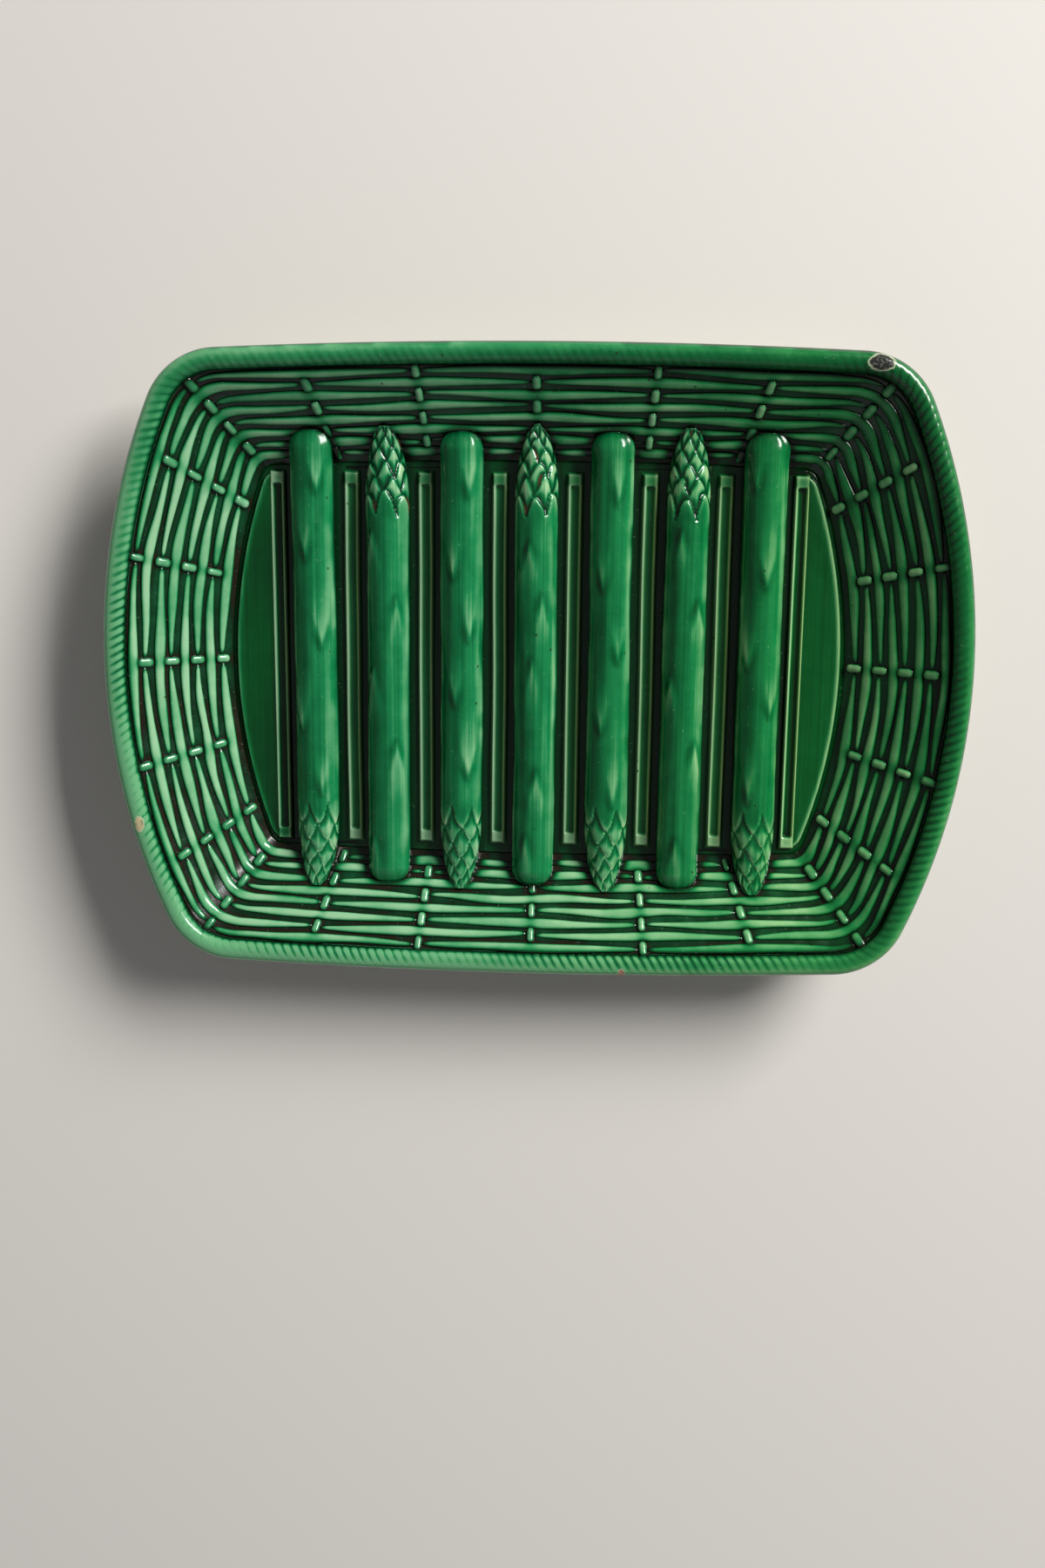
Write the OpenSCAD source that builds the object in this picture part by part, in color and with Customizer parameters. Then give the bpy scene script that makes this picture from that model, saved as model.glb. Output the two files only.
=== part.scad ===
// Asparagus plate in glazed earthenware: a barrel-shaped dish with a rope rim, a basket-weave wall
// and seven spears laid side by side, heads and butts turn about, across its slotted floor.
// The plate lies on its foot ring. +X runs along the plate, +Y along the spears and +Z up.
// All lengths are in millimetres, and the origin is under the middle of the plate, on the table.

/* [Plate] */
// Length over the rope rim
plate_l = 336; // [310:1:370]
// Width over the rope rim
plate_w = 245; // [228:1:270]
// Radius of the bowed short sides, along the outer edge
side_bow_r = 256; // [225:1:400]
// Radius of the nearly straight long edges, along the outer edge
edge_bow_r = 2600; // [1500:50:6000]
// Radius of the four corners, along the outer edge
corner_r = 30; // [13:1:40]
// Length of the flat floor, between the feet of the walls
floor_l = 246; // [232:1:262]
// Width of the flat floor, between the feet of the walls
floor_w = 158.6; // [148:0.2:172]
// Radius of the floor's four corners
floor_corner_r = 6; // [3:0.5:12]
// Thickness of the floor
floor_t = 5; // [3.5:0.5:8]
// Thickness of the wall, square to its face
wall_t = 5; // [3.5:0.5:7]
// Rise of the wall from the floor to the seat of the rope
wall_rise = 25; // [18:0.5:34]
// Thickness of the rim's edge under the rope
edge_t = 3.5; // [2:0.5:6]

/* [Foot ring] */
// Height of the foot ring under the floor
foot_h = 5; // [4.5:0.5:9]
// Width of the foot ring's tread
foot_w = 7; // [4:0.5:12]
// Step from the foot of the wall in to the foot ring
foot_inset = 2; // [1:0.5:8]

/* [Rope rim] */
// Width of the rope
rope_w = 8.6; // [7:0.2:11]
// Height of the rope over its seat
rope_h = 5; // [3:0.2:7]
// Strands of the rope that show round the whole rim
rope_turns = 288; // [240:4:320]
// Depth of the grooves between the strands of the rope
rope_groove = 0.5; // [0.2:0.1:0.9]
// Lead of a groove from the middle of the rope to its outer edge
rope_lean = 2.6; // [0:0.2:4]
// How far the rope stands out over the edge of the dish
rope_overhang = 1.2; // [0.4:0.2:2]

/* [Basket weave] */
// Width of a weaver over its stake, as a part of the distance between two rows
weaver_share = 0.69; // [0.4:0.01:0.75]
// Height of a weaver over its stake
weaver_h = 1.4; // [0.8:0.1:2]
// Width of a stake where it shows, as a part of the distance between two rows
stake_w_share = 0.57; // [0.4:0.01:0.66]
// Length of a stake where it shows, as a part of the distance between two rows
stake_l_share = 0.8; // [0.72:0.01:0.9]
// Height of a stake where it shows
stake_h = 1.7; // [1.2:0.1:2.4]
// Clearance between a stake and the ends of the weavers beside it
stake_gap = 0.5; // [0.2:0.1:1.2]

/* [Spears] */
// Length of the floor that each end panel takes, up to the middle of its slot
end_zone = 19.75; // [16:0.25:26]
// Width of the valley between a spear and the bar beside it
valley_w = 2.55; // [1.5:0.05:4]
// Height of a spear over the floor
spear_h = 13; // [12:0.5:15]
// Reach of a butt up the wall, beyond the floor
butt_lap = 11; // [7:0.5:12]
// Length of a butt's rounding
butt_round = 6; // [4:0.5:10]
// Reach of a tip up the wall, beyond the floor
tip_lap = 12.6; // [8:0.2:13]
// Length of a spear's head
tip_l = 33; // [24:1:40]
// Rows of bracts along a head, counting the rows between
bract_rows = 8; // [6:1:11]
// Step down from the free end of a bract to the one that it lies on
bract_h = 1.2; // [0.3:0.1:1.6]
// Clearance under a spear where it lies over the weave
lap_gap = 0.1; // [0.05:0.05:0.5]

/* [Slotted bars] */
// Gap between the end of a bar and the foot of the wall
bar_gap = 4; // [1:0.5:12]
// Width of a bar at its foot
bar_w = 7.4; // [6:0.2:8]
// Draw-in of a bar's flanks from its foot to its top
bar_draft = 0.8; // [0.2:0.1:1.2]
// Width of the slot in a bar or a panel
slot_w = 3.2; // [2:0.2:3.6]
// Distance from the end of a slot to the end of its bar
slot_end = 4.4; // [2:0.2:8]
// Height of a bar over the floor
bar_h = 2.2; // [1:0.1:3]
// Depth of a slot
slot_d = 1.9; // [0.6:0.1:2]

/* [End panels] */
// Height of an end panel over the floor
panel_h = 1.6; // [1:0.1:2.4]
// Gap between the bowed edge of an end panel and the foot of the wall
panel_gap = 1; // [0.5:0.5:3]
// Gap between the ends of an end panel and the foot of the wall
panel_end_gap = 2.6; // [1:0.1:8]
// Radius of an end panel's corners
panel_corner_r = 7; // [4:0.5:12]

/* [Hidden] */
$fn = 96;

green = "#1f8a5b";
pale_green = "#6fbf8d";
deep_green = "#0f5a3a";
clay = "#cfc3a6";

// Millimetres of arc to a degree on a circle of radius 1
deg_len = PI / 180;
// Overrun of a cut past the face it cuts
over = 1;
spear_n = 7;
weave_rows = 8;
bar_l = floor_w - 2 * bar_gap;
panel_l = floor_w - 2 * panel_end_gap;
spear_pitch = (floor_l - 2 * end_zone) / spear_n;
spear_w = spear_pitch - bar_w - 2 * valley_w;
floor_z = foot_h + floor_t;
seat_z = floor_z + wall_rise;
edge_run = (plate_w - floor_w) / 2;
side_run = (plate_l - floor_l) / 2;
// Run of the wall along the long edges, from the floor to the land that the rope sits on
wall_run = edge_run - rope_w;

// Stakes: 24 round the wall, numbered from 0 in the middle of the right side, anticlockwise.
// The four corner stakes are 3, 9, 15 and 21.
quarter_stakes = 6;
corner_n = quarter_stakes / 2;
stakes_n = 4 * quarter_stakes;
// Places of the stakes between the middle of a side and its corner, at the rim and at the floor
rim_side_share = [0.37, 0.73];
rim_edge_share = [0.343, 0.672];
floor_side_share = [0.42, 0.78];
floor_edge_share = [0.393, 0.72];
// Half of the flat strip of wall under a stake, of the way to the next stake
seat_share = 0.05;
// Stations of the wall from one stake to the next, closer beside a corner
plain_step_share = [seat_share, 0.5, 1 - seat_share];
to_corner_step_share = [seat_share, 0.4, 0.72, 0.85, 1 - seat_share];
from_corner_step_share = [seat_share, 0.15, 0.28, 0.6, 1 - seat_share];
// Height of the first row of the weave on the wall, in rows
first_row_share = 0.91;
weave_rows_share = weave_rows + 0.28;
// Narrowing and lowering of a weaver from its middle to its ends
weaver_narrow_share = 0.7;
weaver_low_share = 0.6;
// Half of a rounded section, from one edge over the crown: width and height
weaver_section_share = [[-1, 0], [-0.5, 1], [0.5, 1], [1, 0]];
spear_section_share = [
    [-0.94, 0], [-1, 0.36], [-0.87, 0.67], [-0.5, 0.91], [0, 1],
    [0.5, 0.91], [0.87, 0.67], [1, 0.36], [0.94, 0]
];
rope_angles = [0, 55, 125, 180];
// Rounding of a butt: place along it, width and height
butt_share = [[0, 0.62, 0.3], [0.2, 0.82, 0.65], [0.55, 0.95, 0.9], [1, 1, 1]];
// Form of a head's outline, and how much it drops at its end
tip_reach_share = 0.95;
tip_power = 2.6;
tip_drop_share = 0.55;
// Where a bract has stepped down, past its free end, as a part of its row
bract_step_share = 0.16;

// A quarter of a barrel-shaped outline as three arcs: side, corner and long edge.
// An arc is its centre, its radius, its first angle and its length.
function barrel_arcs(half_l, half_w, side_r, edge_r, round_r) =
    let (side_c = [half_l - side_r, 0])
    let (edge_c = [0, half_w - edge_r])
    let (gap = norm(edge_c - side_c))
    let (along = (edge_c - side_c) / gap)
    let (near_r = side_r - round_r)
    let (far_r = edge_r - round_r)
    let (foot = (near_r * near_r - far_r * far_r + gap * gap) / (2 * gap))
    let (off = sqrt(near_r * near_r - foot * foot))
    let (corner_c = side_c + foot * along + off * [-along[1], along[0]])
    let (first = atan2(corner_c[1] - side_c[1], corner_c[0] - side_c[0]))
    let (last = atan2(corner_c[1] - edge_c[1], corner_c[0] - edge_c[0]))
    [
        [side_c, side_r, 0, side_r * first * deg_len],
        [corner_c, round_r, first, round_r * (last - first) * deg_len],
        [edge_c, edge_r, last, edge_r * (90 - last) * deg_len]
    ];

function on_arc(arc, s) =
    let (angle = arc[2] + s / (arc[1] * deg_len))
    arc[0] + arc[1] * [cos(angle), sin(angle)];

function on_quarter(arcs, s) =
    s < arcs[0][3] ? on_arc(arcs[0], s)
    : s < arcs[0][3] + arcs[1][3] ? on_arc(arcs[1], s - arcs[0][3])
    : on_arc(arcs[2], s - arcs[0][3] - arcs[1][3]);

function quarter_len(arcs) = arcs[0][3] + arcs[1][3] + arcs[2][3];

// Point at the distance s along the whole outline, from the middle of the right side
function on_barrel(arcs, s) =
    let (quarter = quarter_len(arcs))
    let (wrapped = s - 4 * quarter * floor(s / (4 * quarter)))
    let (q = min(3, floor(wrapped / quarter)))
    let (rest = wrapped - q * quarter)
    let (p = on_quarter(arcs, q % 2 == 0 ? rest : quarter - rest))
    [q == 0 || q == 3 ? p[0] : -p[0], q < 2 ? p[1] : -p[1]];

// Distance along a quarter outline of each of its stakes
function stake_stops(arcs, side_share, edge_share) =
    let (side_len = arcs[0][3] + arcs[1][3] / 2)
    let (edge_len = arcs[2][3] + arcs[1][3] / 2)
    [
        [0, 0], [1, side_share[0] * side_len], [2, side_share[1] * side_len],
        [3, side_len],
        [4, side_len + (1 - edge_share[1]) * edge_len], [5, side_len + (1 - edge_share[0]) * edge_len],
        [6, side_len + edge_len]
    ];

// The barrel of the rim drawn in by an even step
function inset_rim_arcs(inset) = barrel_arcs(
    plate_l / 2 - inset, plate_w / 2 - inset, side_bow_r - inset, edge_bow_r - inset, corner_r - inset
);

seat_arcs = inset_rim_arcs(rope_w);
edge_arcs = inset_rim_arcs(rope_overhang);
floor_arcs = barrel_arcs(
    floor_l / 2, floor_w / 2, side_bow_r - side_run, edge_bow_r - edge_run, floor_corner_r
);
seat_stops = stake_stops(seat_arcs, rim_side_share, rim_edge_share);
edge_stops = stake_stops(edge_arcs, rim_side_share, rim_edge_share);
floor_stops = stake_stops(floor_arcs, floor_side_share, floor_edge_share);

// Point of an outline at stake u, where a part of 1 lies between two stakes
function at_stake(arcs, stops, u) =
    let (wrapped = u - stakes_n * floor(u / stakes_n))
    let (q = min(3, floor(wrapped / quarter_stakes)))
    let (rest = wrapped - q * quarter_stakes)
    let (p = on_quarter(arcs, lookup(q % 2 == 0 ? rest : quarter_stakes - rest, stops)))
    [q == 0 || q == 3 ? p[0] : -p[0], q < 2 ? p[1] : -p[1]];

// Plan point on the line of stake u, from 0 at the floor to 1 at the seat of the rope
function on_stake(u, height) =
    let (low = at_stake(floor_arcs, floor_stops, u))
    low + height * (at_stake(seat_arcs, seat_stops, u) - low);

// Place on the wall at stake u: the point, the way up the wall, the way out of it and the
// distance between two rows there. The height goes from 0 at the floor to 1 at the rope's seat.
function wall_frame(u, height) =
    let (low = (on_stake(u - seat_share, 0) + on_stake(u + seat_share, 0)) / 2)
    let (high = (on_stake(u - seat_share, 1) + on_stake(u + seat_share, 1)) / 2)
    let (out = high - low)
    let (slope_l = norm([out[0], out[1], wall_rise]))
    let (way = [out[0], out[1], wall_rise] / slope_l)
    let (along = on_stake(u + seat_share, height) - on_stake(u - seat_share, height))
    let (square = cross(way, [along[0], along[1], 0]))
    let (p = low + height * out)
    [
        [p[0], p[1], floor_z + height * wall_rise], way, square / norm(square),
        slope_l / weave_rows_share
    ];

// The same at a station of the wall, where the surface runs through the point itself
function station_frame(u, height) =
    let (frame = wall_frame(u, height))
    let (p = on_stake(u, height))
    [[p[0], p[1], frame[0][2]], frame[1], frame[2], frame[3]];

function row_height(row) = (weave_rows - row + first_row_share) / weave_rows_share;

// The steps between two stakes, closer at the corners
function steps_after(stake) =
    stake % quarter_stakes == corner_n ? from_corner_step_share
    : stake % quarter_stakes == corner_n - 1 ? to_corner_step_share
    : plain_step_share;

wall_stations = [for (stake = [0 : stakes_n - 1]) for (step = steps_after(stake)) stake + step];

// A solid skinned over closed sections that all have as many points, or a ring where it loops
module skin(sections, loop = false) {
    n = len(sections[0]);
    m = len(sections);
    bands = loop ? m : m - 1;
    sides = [
        for (i = [0 : bands - 1]) for (j = [0 : n - 1])
            let (a = i * n + j, b = i * n + (j + 1) % n)
            let (c = ((i + 1) % m) * n + (j + 1) % n, d = ((i + 1) % m) * n + j)
            each [[a, b, c], [a, c, d]]
    ];
    caps = loop ? [] : [
        [for (j = [n - 1 : -1 : 0]) j],
        [for (j = [0 : n - 1]) (m - 1) * n + j]
    ];
    polyhedron(points = [for (s = sections) each s], faces = concat(sides, caps), convexity = 8);
}

// A barrel-shaped plate outline, with true arcs
module barrel(arcs) {
    side_c = arcs[0][0];
    edge_c = arcs[2][0];
    side_end = on_arc(arcs[0], arcs[0][3]);
    edge_start = on_arc(arcs[2], 0);
    reach = side_c[0] + arcs[0][1];
    module bows() {
        intersection() {
            translate(side_c)
                circle(arcs[0][1]);
            translate(-side_c)
                circle(arcs[0][1]);
            translate(edge_c)
                circle(arcs[2][1]);
            translate(-edge_c)
                circle(arcs[2][1]);
        }
    }
    intersection() {
        bows();
        square([2 * reach + over, 2 * side_end[1]], center = true);
    }
    intersection() {
        bows();
        square([2 * edge_start[0], 2 * reach], center = true);
    }
    for (x = [-1, 1], y = [-1, 1])
        translate([x * arcs[1][0][0], y * arcs[1][0][1]])
            circle(arcs[1][1]);
}

// The barrel of the floor drawn in by an even step
function inset_floor_arcs(inset, round_r) = barrel_arcs(
    floor_l / 2 - inset, floor_w / 2 - inset,
    side_bow_r - side_run - inset, edge_bow_r - edge_run - inset, round_r
);

// Dish: floor, leaning wall and the land that the rope sits on
module dish_body() {
    lean = atan2(wall_rise, wall_run);
    back_height = max(0, (wall_t / cos(lean) - floor_t) / wall_rise);
    // Plan point of the land's outer edge at stake u
    function on_edge(u) = at_stake(edge_arcs, edge_stops, u);
    color(green)
        skin([
            [for (u = wall_stations) concat(on_stake(u, 0), floor_z)],
            [for (u = wall_stations) concat(on_stake(u, 1), seat_z)],
            [for (u = wall_stations) concat(on_edge(u), seat_z)],
            [for (u = wall_stations) concat(on_edge(u), seat_z - edge_t)],
            [for (u = wall_stations) concat(on_stake(u, back_height), foot_h)]
        ]);
}

// Foot ring that the plate stands on
module foot_ring() {
    color(clay)
        linear_extrude(foot_h)
            difference() {
                barrel(inset_floor_arcs(foot_inset, floor_corner_r));
                barrel(inset_floor_arcs(foot_inset + foot_w, floor_corner_r));
            }
}

// Rope laid round the rim: crest and groove turn about, leaning with the lay of the rope
module rope_rim() {
    half = rope_w / 2;
    arcs = inset_rim_arcs(half);
    step = 4 * quarter_len(arcs) / (2 * rope_turns);
    color(pale_green)
        skin([
            for (i = [0 : 2 * rope_turns - 1])
                let (r = i % 2 == 0 ? half : half - rope_groove)
                let (h = i % 2 == 0 ? rope_h : rope_h - rope_groove)
                [
                    for (angle = rope_angles)
                        let (s = i * step + rope_lean * cos(angle))
                        let (p = on_barrel(arcs, s))
                        let (ahead = on_barrel(arcs, s + step / 4) - on_barrel(arcs, s - step / 4))
                        let (out = [ahead[1], -ahead[0]] / norm(ahead))
                        [
                            p[0] + r * cos(angle) * out[0],
                            p[1] + r * cos(angle) * out[1],
                            seat_z + h * sin(angle)
                        ]
                ]
        ], loop = true);
}

// One weaver: it lies over the stake in its middle and ends beside the stakes on either hand
module weaver(row, stake) {
    height = row_height(row);
    here = station_frame(stake, height)[0];
    before = station_frame(stake - 1, height)[0];
    after = station_frame(stake + 1, height)[0];
    first_gap = stake_w_share / 2 * station_frame(stake - 1, height)[3] + stake_gap;
    last_gap = stake_w_share / 2 * station_frame(stake + 1, height)[3] + stake_gap;
    first = stake - 1 + first_gap / norm(here - before);
    last = stake + 1 - last_gap / norm(after - here);
    stations = [
        first,
        for (turn = [-stakes_n, 0, stakes_n]) for (u = wall_stations)
            if (u + turn > first && u + turn < last) u + turn,
        last
    ];
    skin([
        for (u = stations)
            let (place = station_frame(u, height))
            let (off = (u - stake) * (u - stake))
            let (w = weaver_share / 2 * place[3] * (1 - weaver_narrow_share * off))
            let (h = weaver_h * (1 - weaver_low_share * off))
            [for (s = weaver_section_share) place[0] + w * s[0] * place[1] + h * s[1] * place[2]]
    ]);
}

// A row of weavers, each over every other stake
module weaver_row(row) {
    color(green)
        for (stake = [0 : stakes_n - 1])
            if ((stake + row) % 2 == 1)
                weaver(row, stake);
}

// Side view of a knot, as shares of half its length and of its height
knot_side_share = [[-1, 0], [-1, 0.3], [-0.72, 1.05], [0.72, 1.05], [1, 0.3], [1, 0]];

// A stake where it shows between two weavers of a row: a short rod with sloped ends
module stake_knot(row, stake) {
    place = wall_frame(stake, row_height(row));
    way = place[1];
    stake_w = stake_w_share * place[3];
    stake_l = stake_l_share * place[3];
    turn = atan2(way[1], way[0]);
    lean = asin(way[2]);
    level = [-sin(turn), cos(turn), 0];
    roll = atan2(-place[2] * level, place[2] * cross(way, level));
    r = stake_w / 2;
    translate(place[0])
        rotate([0, 0, turn])
            rotate([roll, -lean, 0])
                intersection() {
                    translate([-stake_l, 0, stake_h - r])
                        rotate([0, 90, 0])
                            cylinder(r = r, h = 2 * stake_l);
                    translate([0, stake_w])
                        rotate([90, 0, 0])
                            linear_extrude(2 * stake_w)
                                polygon([for (p = knot_side_share) [p[0] * stake_l / 2, p[1] * stake_h]]);
                }
}

// The stakes numbered in a list, where they show
module stakes(numbers) {
    color(pale_green)
        for (stake = numbers, row = [1 : weave_rows])
            if ((stake + row) % 2 == 0)
                stake_knot(row, stake);
}

module stakes_right() {
    stakes([-2, -1, 0, 1, 2] + stakes_n * [1, 1, 1, 1, 1]);
}

module stakes_far() {
    stakes([4 : 8]);
}

module stakes_left() {
    stakes([10 : 14]);
}

module stakes_near() {
    stakes([16 : 20]);
}

module stakes_corner() {
    stakes([corner_n : quarter_stakes : stakes_n - 1]);
}

// Run from the floor's edge to the lowest row of the weave
first_row_run = wall_run * row_height(weave_rows);

// Height of a spear's underside at the place x, y: on the floor, then over the weave
function under_spear(x, y) =
    let (edge_c = floor_arcs[2][0])
    let (edge_r = floor_arcs[2][1])
    let (foot = edge_c[1] + sqrt(edge_r * edge_r - x * x))
    let (lift = weaver_h / cos(atan2(wall_rise, wall_run)) + lap_gap)
    let (beyond = abs(y) - foot)
    beyond <= 0 ? floor_z
    : beyond < first_row_run ?
        floor_z + (wall_rise / wall_run + lift / first_row_run) * beyond
    : floor_z + beyond * wall_rise / wall_run + lift;

// One spear of asparagus. It points along +Y where heads_up is 1 and along -Y where it is -1.
module spear(number) {
    x = (number - (spear_n + 1) / 2) * spear_pitch;
    heads_up = number % 2 == 0 ? 1 : -1;
    butt_y = -floor_w / 2 - butt_lap;
    head_y = floor_w / 2 + tip_lap - tip_l;
    tip_step = tip_l / bract_rows;
    crown_z = floor_z + spear_h;
    last_place = bract_rows + bract_step_share;
    // Place in the rows of bracts where the head comes over the weave
    over_weave = (floor_w / 2 + first_row_run - head_y) / tip_step;
    row_places = [for (i = [0 : bract_rows]) each [i, i + bract_step_share]];
    places = [
        for (p = row_places) if (p < over_weave) p,
        over_weave,
        for (p = row_places) if (p > over_weave) p
    ];
    // Each station: place along the spear, width and height shares, the row of bracts or -1,
    // and how far the bracts that end in this row, and those that end in the next, lie back
    stations = [
        for (s = butt_share) [butt_y + s[0] * butt_round, s[1], s[2], -1, 0, 0],
        [-floor_w / 2 - first_row_run, 1, 1, -1, 0, 0],
        [-floor_w / 2, 1, 1, -1, 0, 0],
        [head_y - tip_step, 1, 1, -1, 0, 0],
        for (p = places)
            let (row = floor(p), past = p - floor(p))
            let (share = sqrt(1 - pow(tip_reach_share * p / last_place, tip_power)))
            let (rest = (past - bract_step_share) / (1 - bract_step_share))
            let (ended = past < bract_step_share ? past / bract_step_share : 1 - rest / 2)
            let (waiting = row == 0 ? 0 : past < bract_step_share ? 0.5 : 0.5 - rest / 2)
            [
                head_y + (p - bract_step_share) * tip_step,
                share, 1 - tip_drop_share * (1 - share), row, ended, waiting
            ]
    ];
    color(pale_green)
        skin([
            for (s = stations)
                let (low = under_spear(x, s[0]))
                let (high = low + (crown_z - low) * s[2])
                [
                    for (j = [0 : len(spear_section_share) - 1])
                        let (share = spear_section_share[j])
                        let (bract = s[3] >= 0 && j > 0 && j < len(spear_section_share) - 1)
                        let (back = !bract ? 0 : (s[3] + j) % 2 == 0 ? s[4] : s[5])
                        let (lift = back * bract_h * s[1])
                        let (side = (spear_w / 2 * s[1] - lift) * share[0])
                        [
                            x + heads_up * side,
                            heads_up * s[0],
                            low + (high - low - lift) * share[1]
                        ]
                ]
        ]);
}

// A low bar with drafted flanks and a square-ended slot along its top
module slotted_bar() {
    module drafted(length) {
        polygon([
            [-length / 2, 0], [length / 2, 0],
            [length / 2 - bar_draft, bar_h], [bar_draft - length / 2, bar_h]
        ]);
    }
    difference() {
        intersection() {
            rotate([90, 0, 0])
                linear_extrude(bar_l + over, center = true)
                    drafted(bar_w);
            rotate([90, 0, 90])
                linear_extrude(bar_w + over, center = true)
                    drafted(bar_l);
        }
        translate([-slot_w / 2, slot_end - bar_l / 2, bar_h - slot_d])
            cube([slot_w, bar_l - 2 * slot_end, slot_d + over]);
    }
}

module slot_bar(number) {
    x = (number - spear_n / 2) * spear_pitch;
    color(deep_green)
        translate([x, 0, floor_z])
            slotted_bar();
}

// D-shaped panel between the last spear and the wall, with a slot along the spear
module end_panel(side) {
    slot_x = spear_n / 2 * spear_pitch;
    arcs = barrel_arcs(
        floor_l / 2 - panel_gap, panel_l / 2,
        side_bow_r - side_run - panel_gap, edge_bow_r - edge_run, panel_corner_r
    );
    color(green)
        rotate([0, 0, side])
            translate([0, 0, floor_z]) {
                difference() {
                    linear_extrude(panel_h)
                        intersection() {
                            barrel(arcs);
                            translate([slot_x, -panel_l])
                                square([floor_l, 2 * panel_l]);
                        }
                    translate([slot_x, 0, -over])
                        linear_extrude(panel_h + 2 * over)
                            square([bar_w - 2 * bar_draft, bar_l - 2 * bar_draft], center = true);
                }
                translate([slot_x, 0, 0])
                    slotted_bar();
            }
}

module end_panel_left() {
    end_panel(180);
}

module end_panel_right() {
    end_panel(0);
}

dish_body();
foot_ring();
rope_rim();
weaver_row(1);  // weaver_row_1
weaver_row(2);  // weaver_row_2
weaver_row(3);  // weaver_row_3
weaver_row(4);  // weaver_row_4
weaver_row(5);  // weaver_row_5
weaver_row(6);  // weaver_row_6
weaver_row(7);  // weaver_row_7
weaver_row(8);  // weaver_row_8
stakes_right();
stakes_far();
stakes_left();
stakes_near();
stakes_corner();
spear(1);  // spear_1
spear(2);  // spear_2
spear(3);  // spear_3
spear(4);  // spear_4
spear(5);  // spear_5
spear(6);  // spear_6
spear(7);  // spear_7
slot_bar(1);  // slot_bar_1
slot_bar(2);  // slot_bar_2
slot_bar(3);  // slot_bar_3
slot_bar(4);  // slot_bar_4
slot_bar(5);  // slot_bar_5
slot_bar(6);  // slot_bar_6
end_panel_left();
end_panel_right();
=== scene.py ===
import math

import bpy
import mathutils
import numpy as np
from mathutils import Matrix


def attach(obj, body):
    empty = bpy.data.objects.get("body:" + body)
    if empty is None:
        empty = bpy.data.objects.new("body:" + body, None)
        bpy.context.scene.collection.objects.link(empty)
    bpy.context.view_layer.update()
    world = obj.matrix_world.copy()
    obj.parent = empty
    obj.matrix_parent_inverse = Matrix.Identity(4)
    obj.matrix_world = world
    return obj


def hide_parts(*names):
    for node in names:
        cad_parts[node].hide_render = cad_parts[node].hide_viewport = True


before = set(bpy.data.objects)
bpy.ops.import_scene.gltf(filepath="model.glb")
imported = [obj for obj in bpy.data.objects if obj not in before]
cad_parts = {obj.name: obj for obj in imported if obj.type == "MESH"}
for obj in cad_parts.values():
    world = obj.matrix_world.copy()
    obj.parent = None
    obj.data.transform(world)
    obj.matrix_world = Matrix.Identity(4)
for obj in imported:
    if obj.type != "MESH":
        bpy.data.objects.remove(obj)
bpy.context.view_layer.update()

# A glazed earthenware plate for asparagus: x runs along it, y across it and z up from the table.
# Everything is in millimetres until the meshes are written, which are in metres.

# -------------------------------- sizes, in millimetres
MM = 0.001
PLATE_L, PLATE_W = 336.0, 245.0
SIDE_R, EDGE_R, CORNER_R = 256.0, 2600.0, 30.0  # of the rim's short sides, long sides and corners
FLOOR_L, FLOOR_W, FLOOR_R = 246.0, 158.6, 6.0
FOOT_H, FLOOR_Z, SEAT_Z = 5.0, 10.0, 35.0       # heights of the underside, the floor and the rope
WALL_T, WALL_RISE = 5.0, SEAT_Z - FLOOR_Z
EDGE_RUN, SIDE_RUN = (PLATE_W - FLOOR_W) / 2, (PLATE_L - FLOOR_L) / 2
FOOT_OUT, FOOT_IN = 2.0, 9.0                    # the foot ring's edges, in from the floor's outline
ROPE_W, ROPE_H, ROPE_TURNS, ROPE_LEAN = 8.6, 5.0, 288, 2.6
OVERHANG = 1.2                                  # from the rope's outer edge in to the dish's edge
LIP_IN, LIP_R = 1.3, 1.75                       # rounding of the dish's edge under the rope
ROWS, ROWS_SHARE, FIRST_ROW = 8, 8.28, 0.91     # rows of weavers, and how they share the wall
STAKES = 24
QUARTER_STAKES = STAKES // 4
WEAVER_W, STAKE_W, KNOT_L, KNOT_W = 0.90, 0.57, 0.64, 0.34      # in row distances, knots as halves
WEAVER_H, KNOT_H, WEAVE_GAP, WEAVE_SINK = 1.4, 1.65, 0.15, 0.4
PANEL_BAR = 19.75                               # from the floor's end to the bar on the end panel
PITCH = (FLOOR_L - 2 * PANEL_BAR) / 7           # from spear to spear
SPEAR_W, SPEAR_H, BUTT_R = 17.0, 13.0, 7.0
BUTT_Y, TIP_Y, HEAD_L = -FLOOR_W / 2 - 11.0, FLOOR_W / 2 + 12.6, 33.0
BAR_L, BAR_W, BAR_H = FLOOR_W - 8.0, 7.4, 2.2
SLOT_DEEP, SLOT_END = 1.8, 5.6
PANEL_H, PANEL_W, PANEL_INSET, PANEL_R = 1.6, FLOOR_W - 5.2, 1.0, 7.0
SINK = 0.6                                      # how far relief reaches into what it lies on


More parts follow.
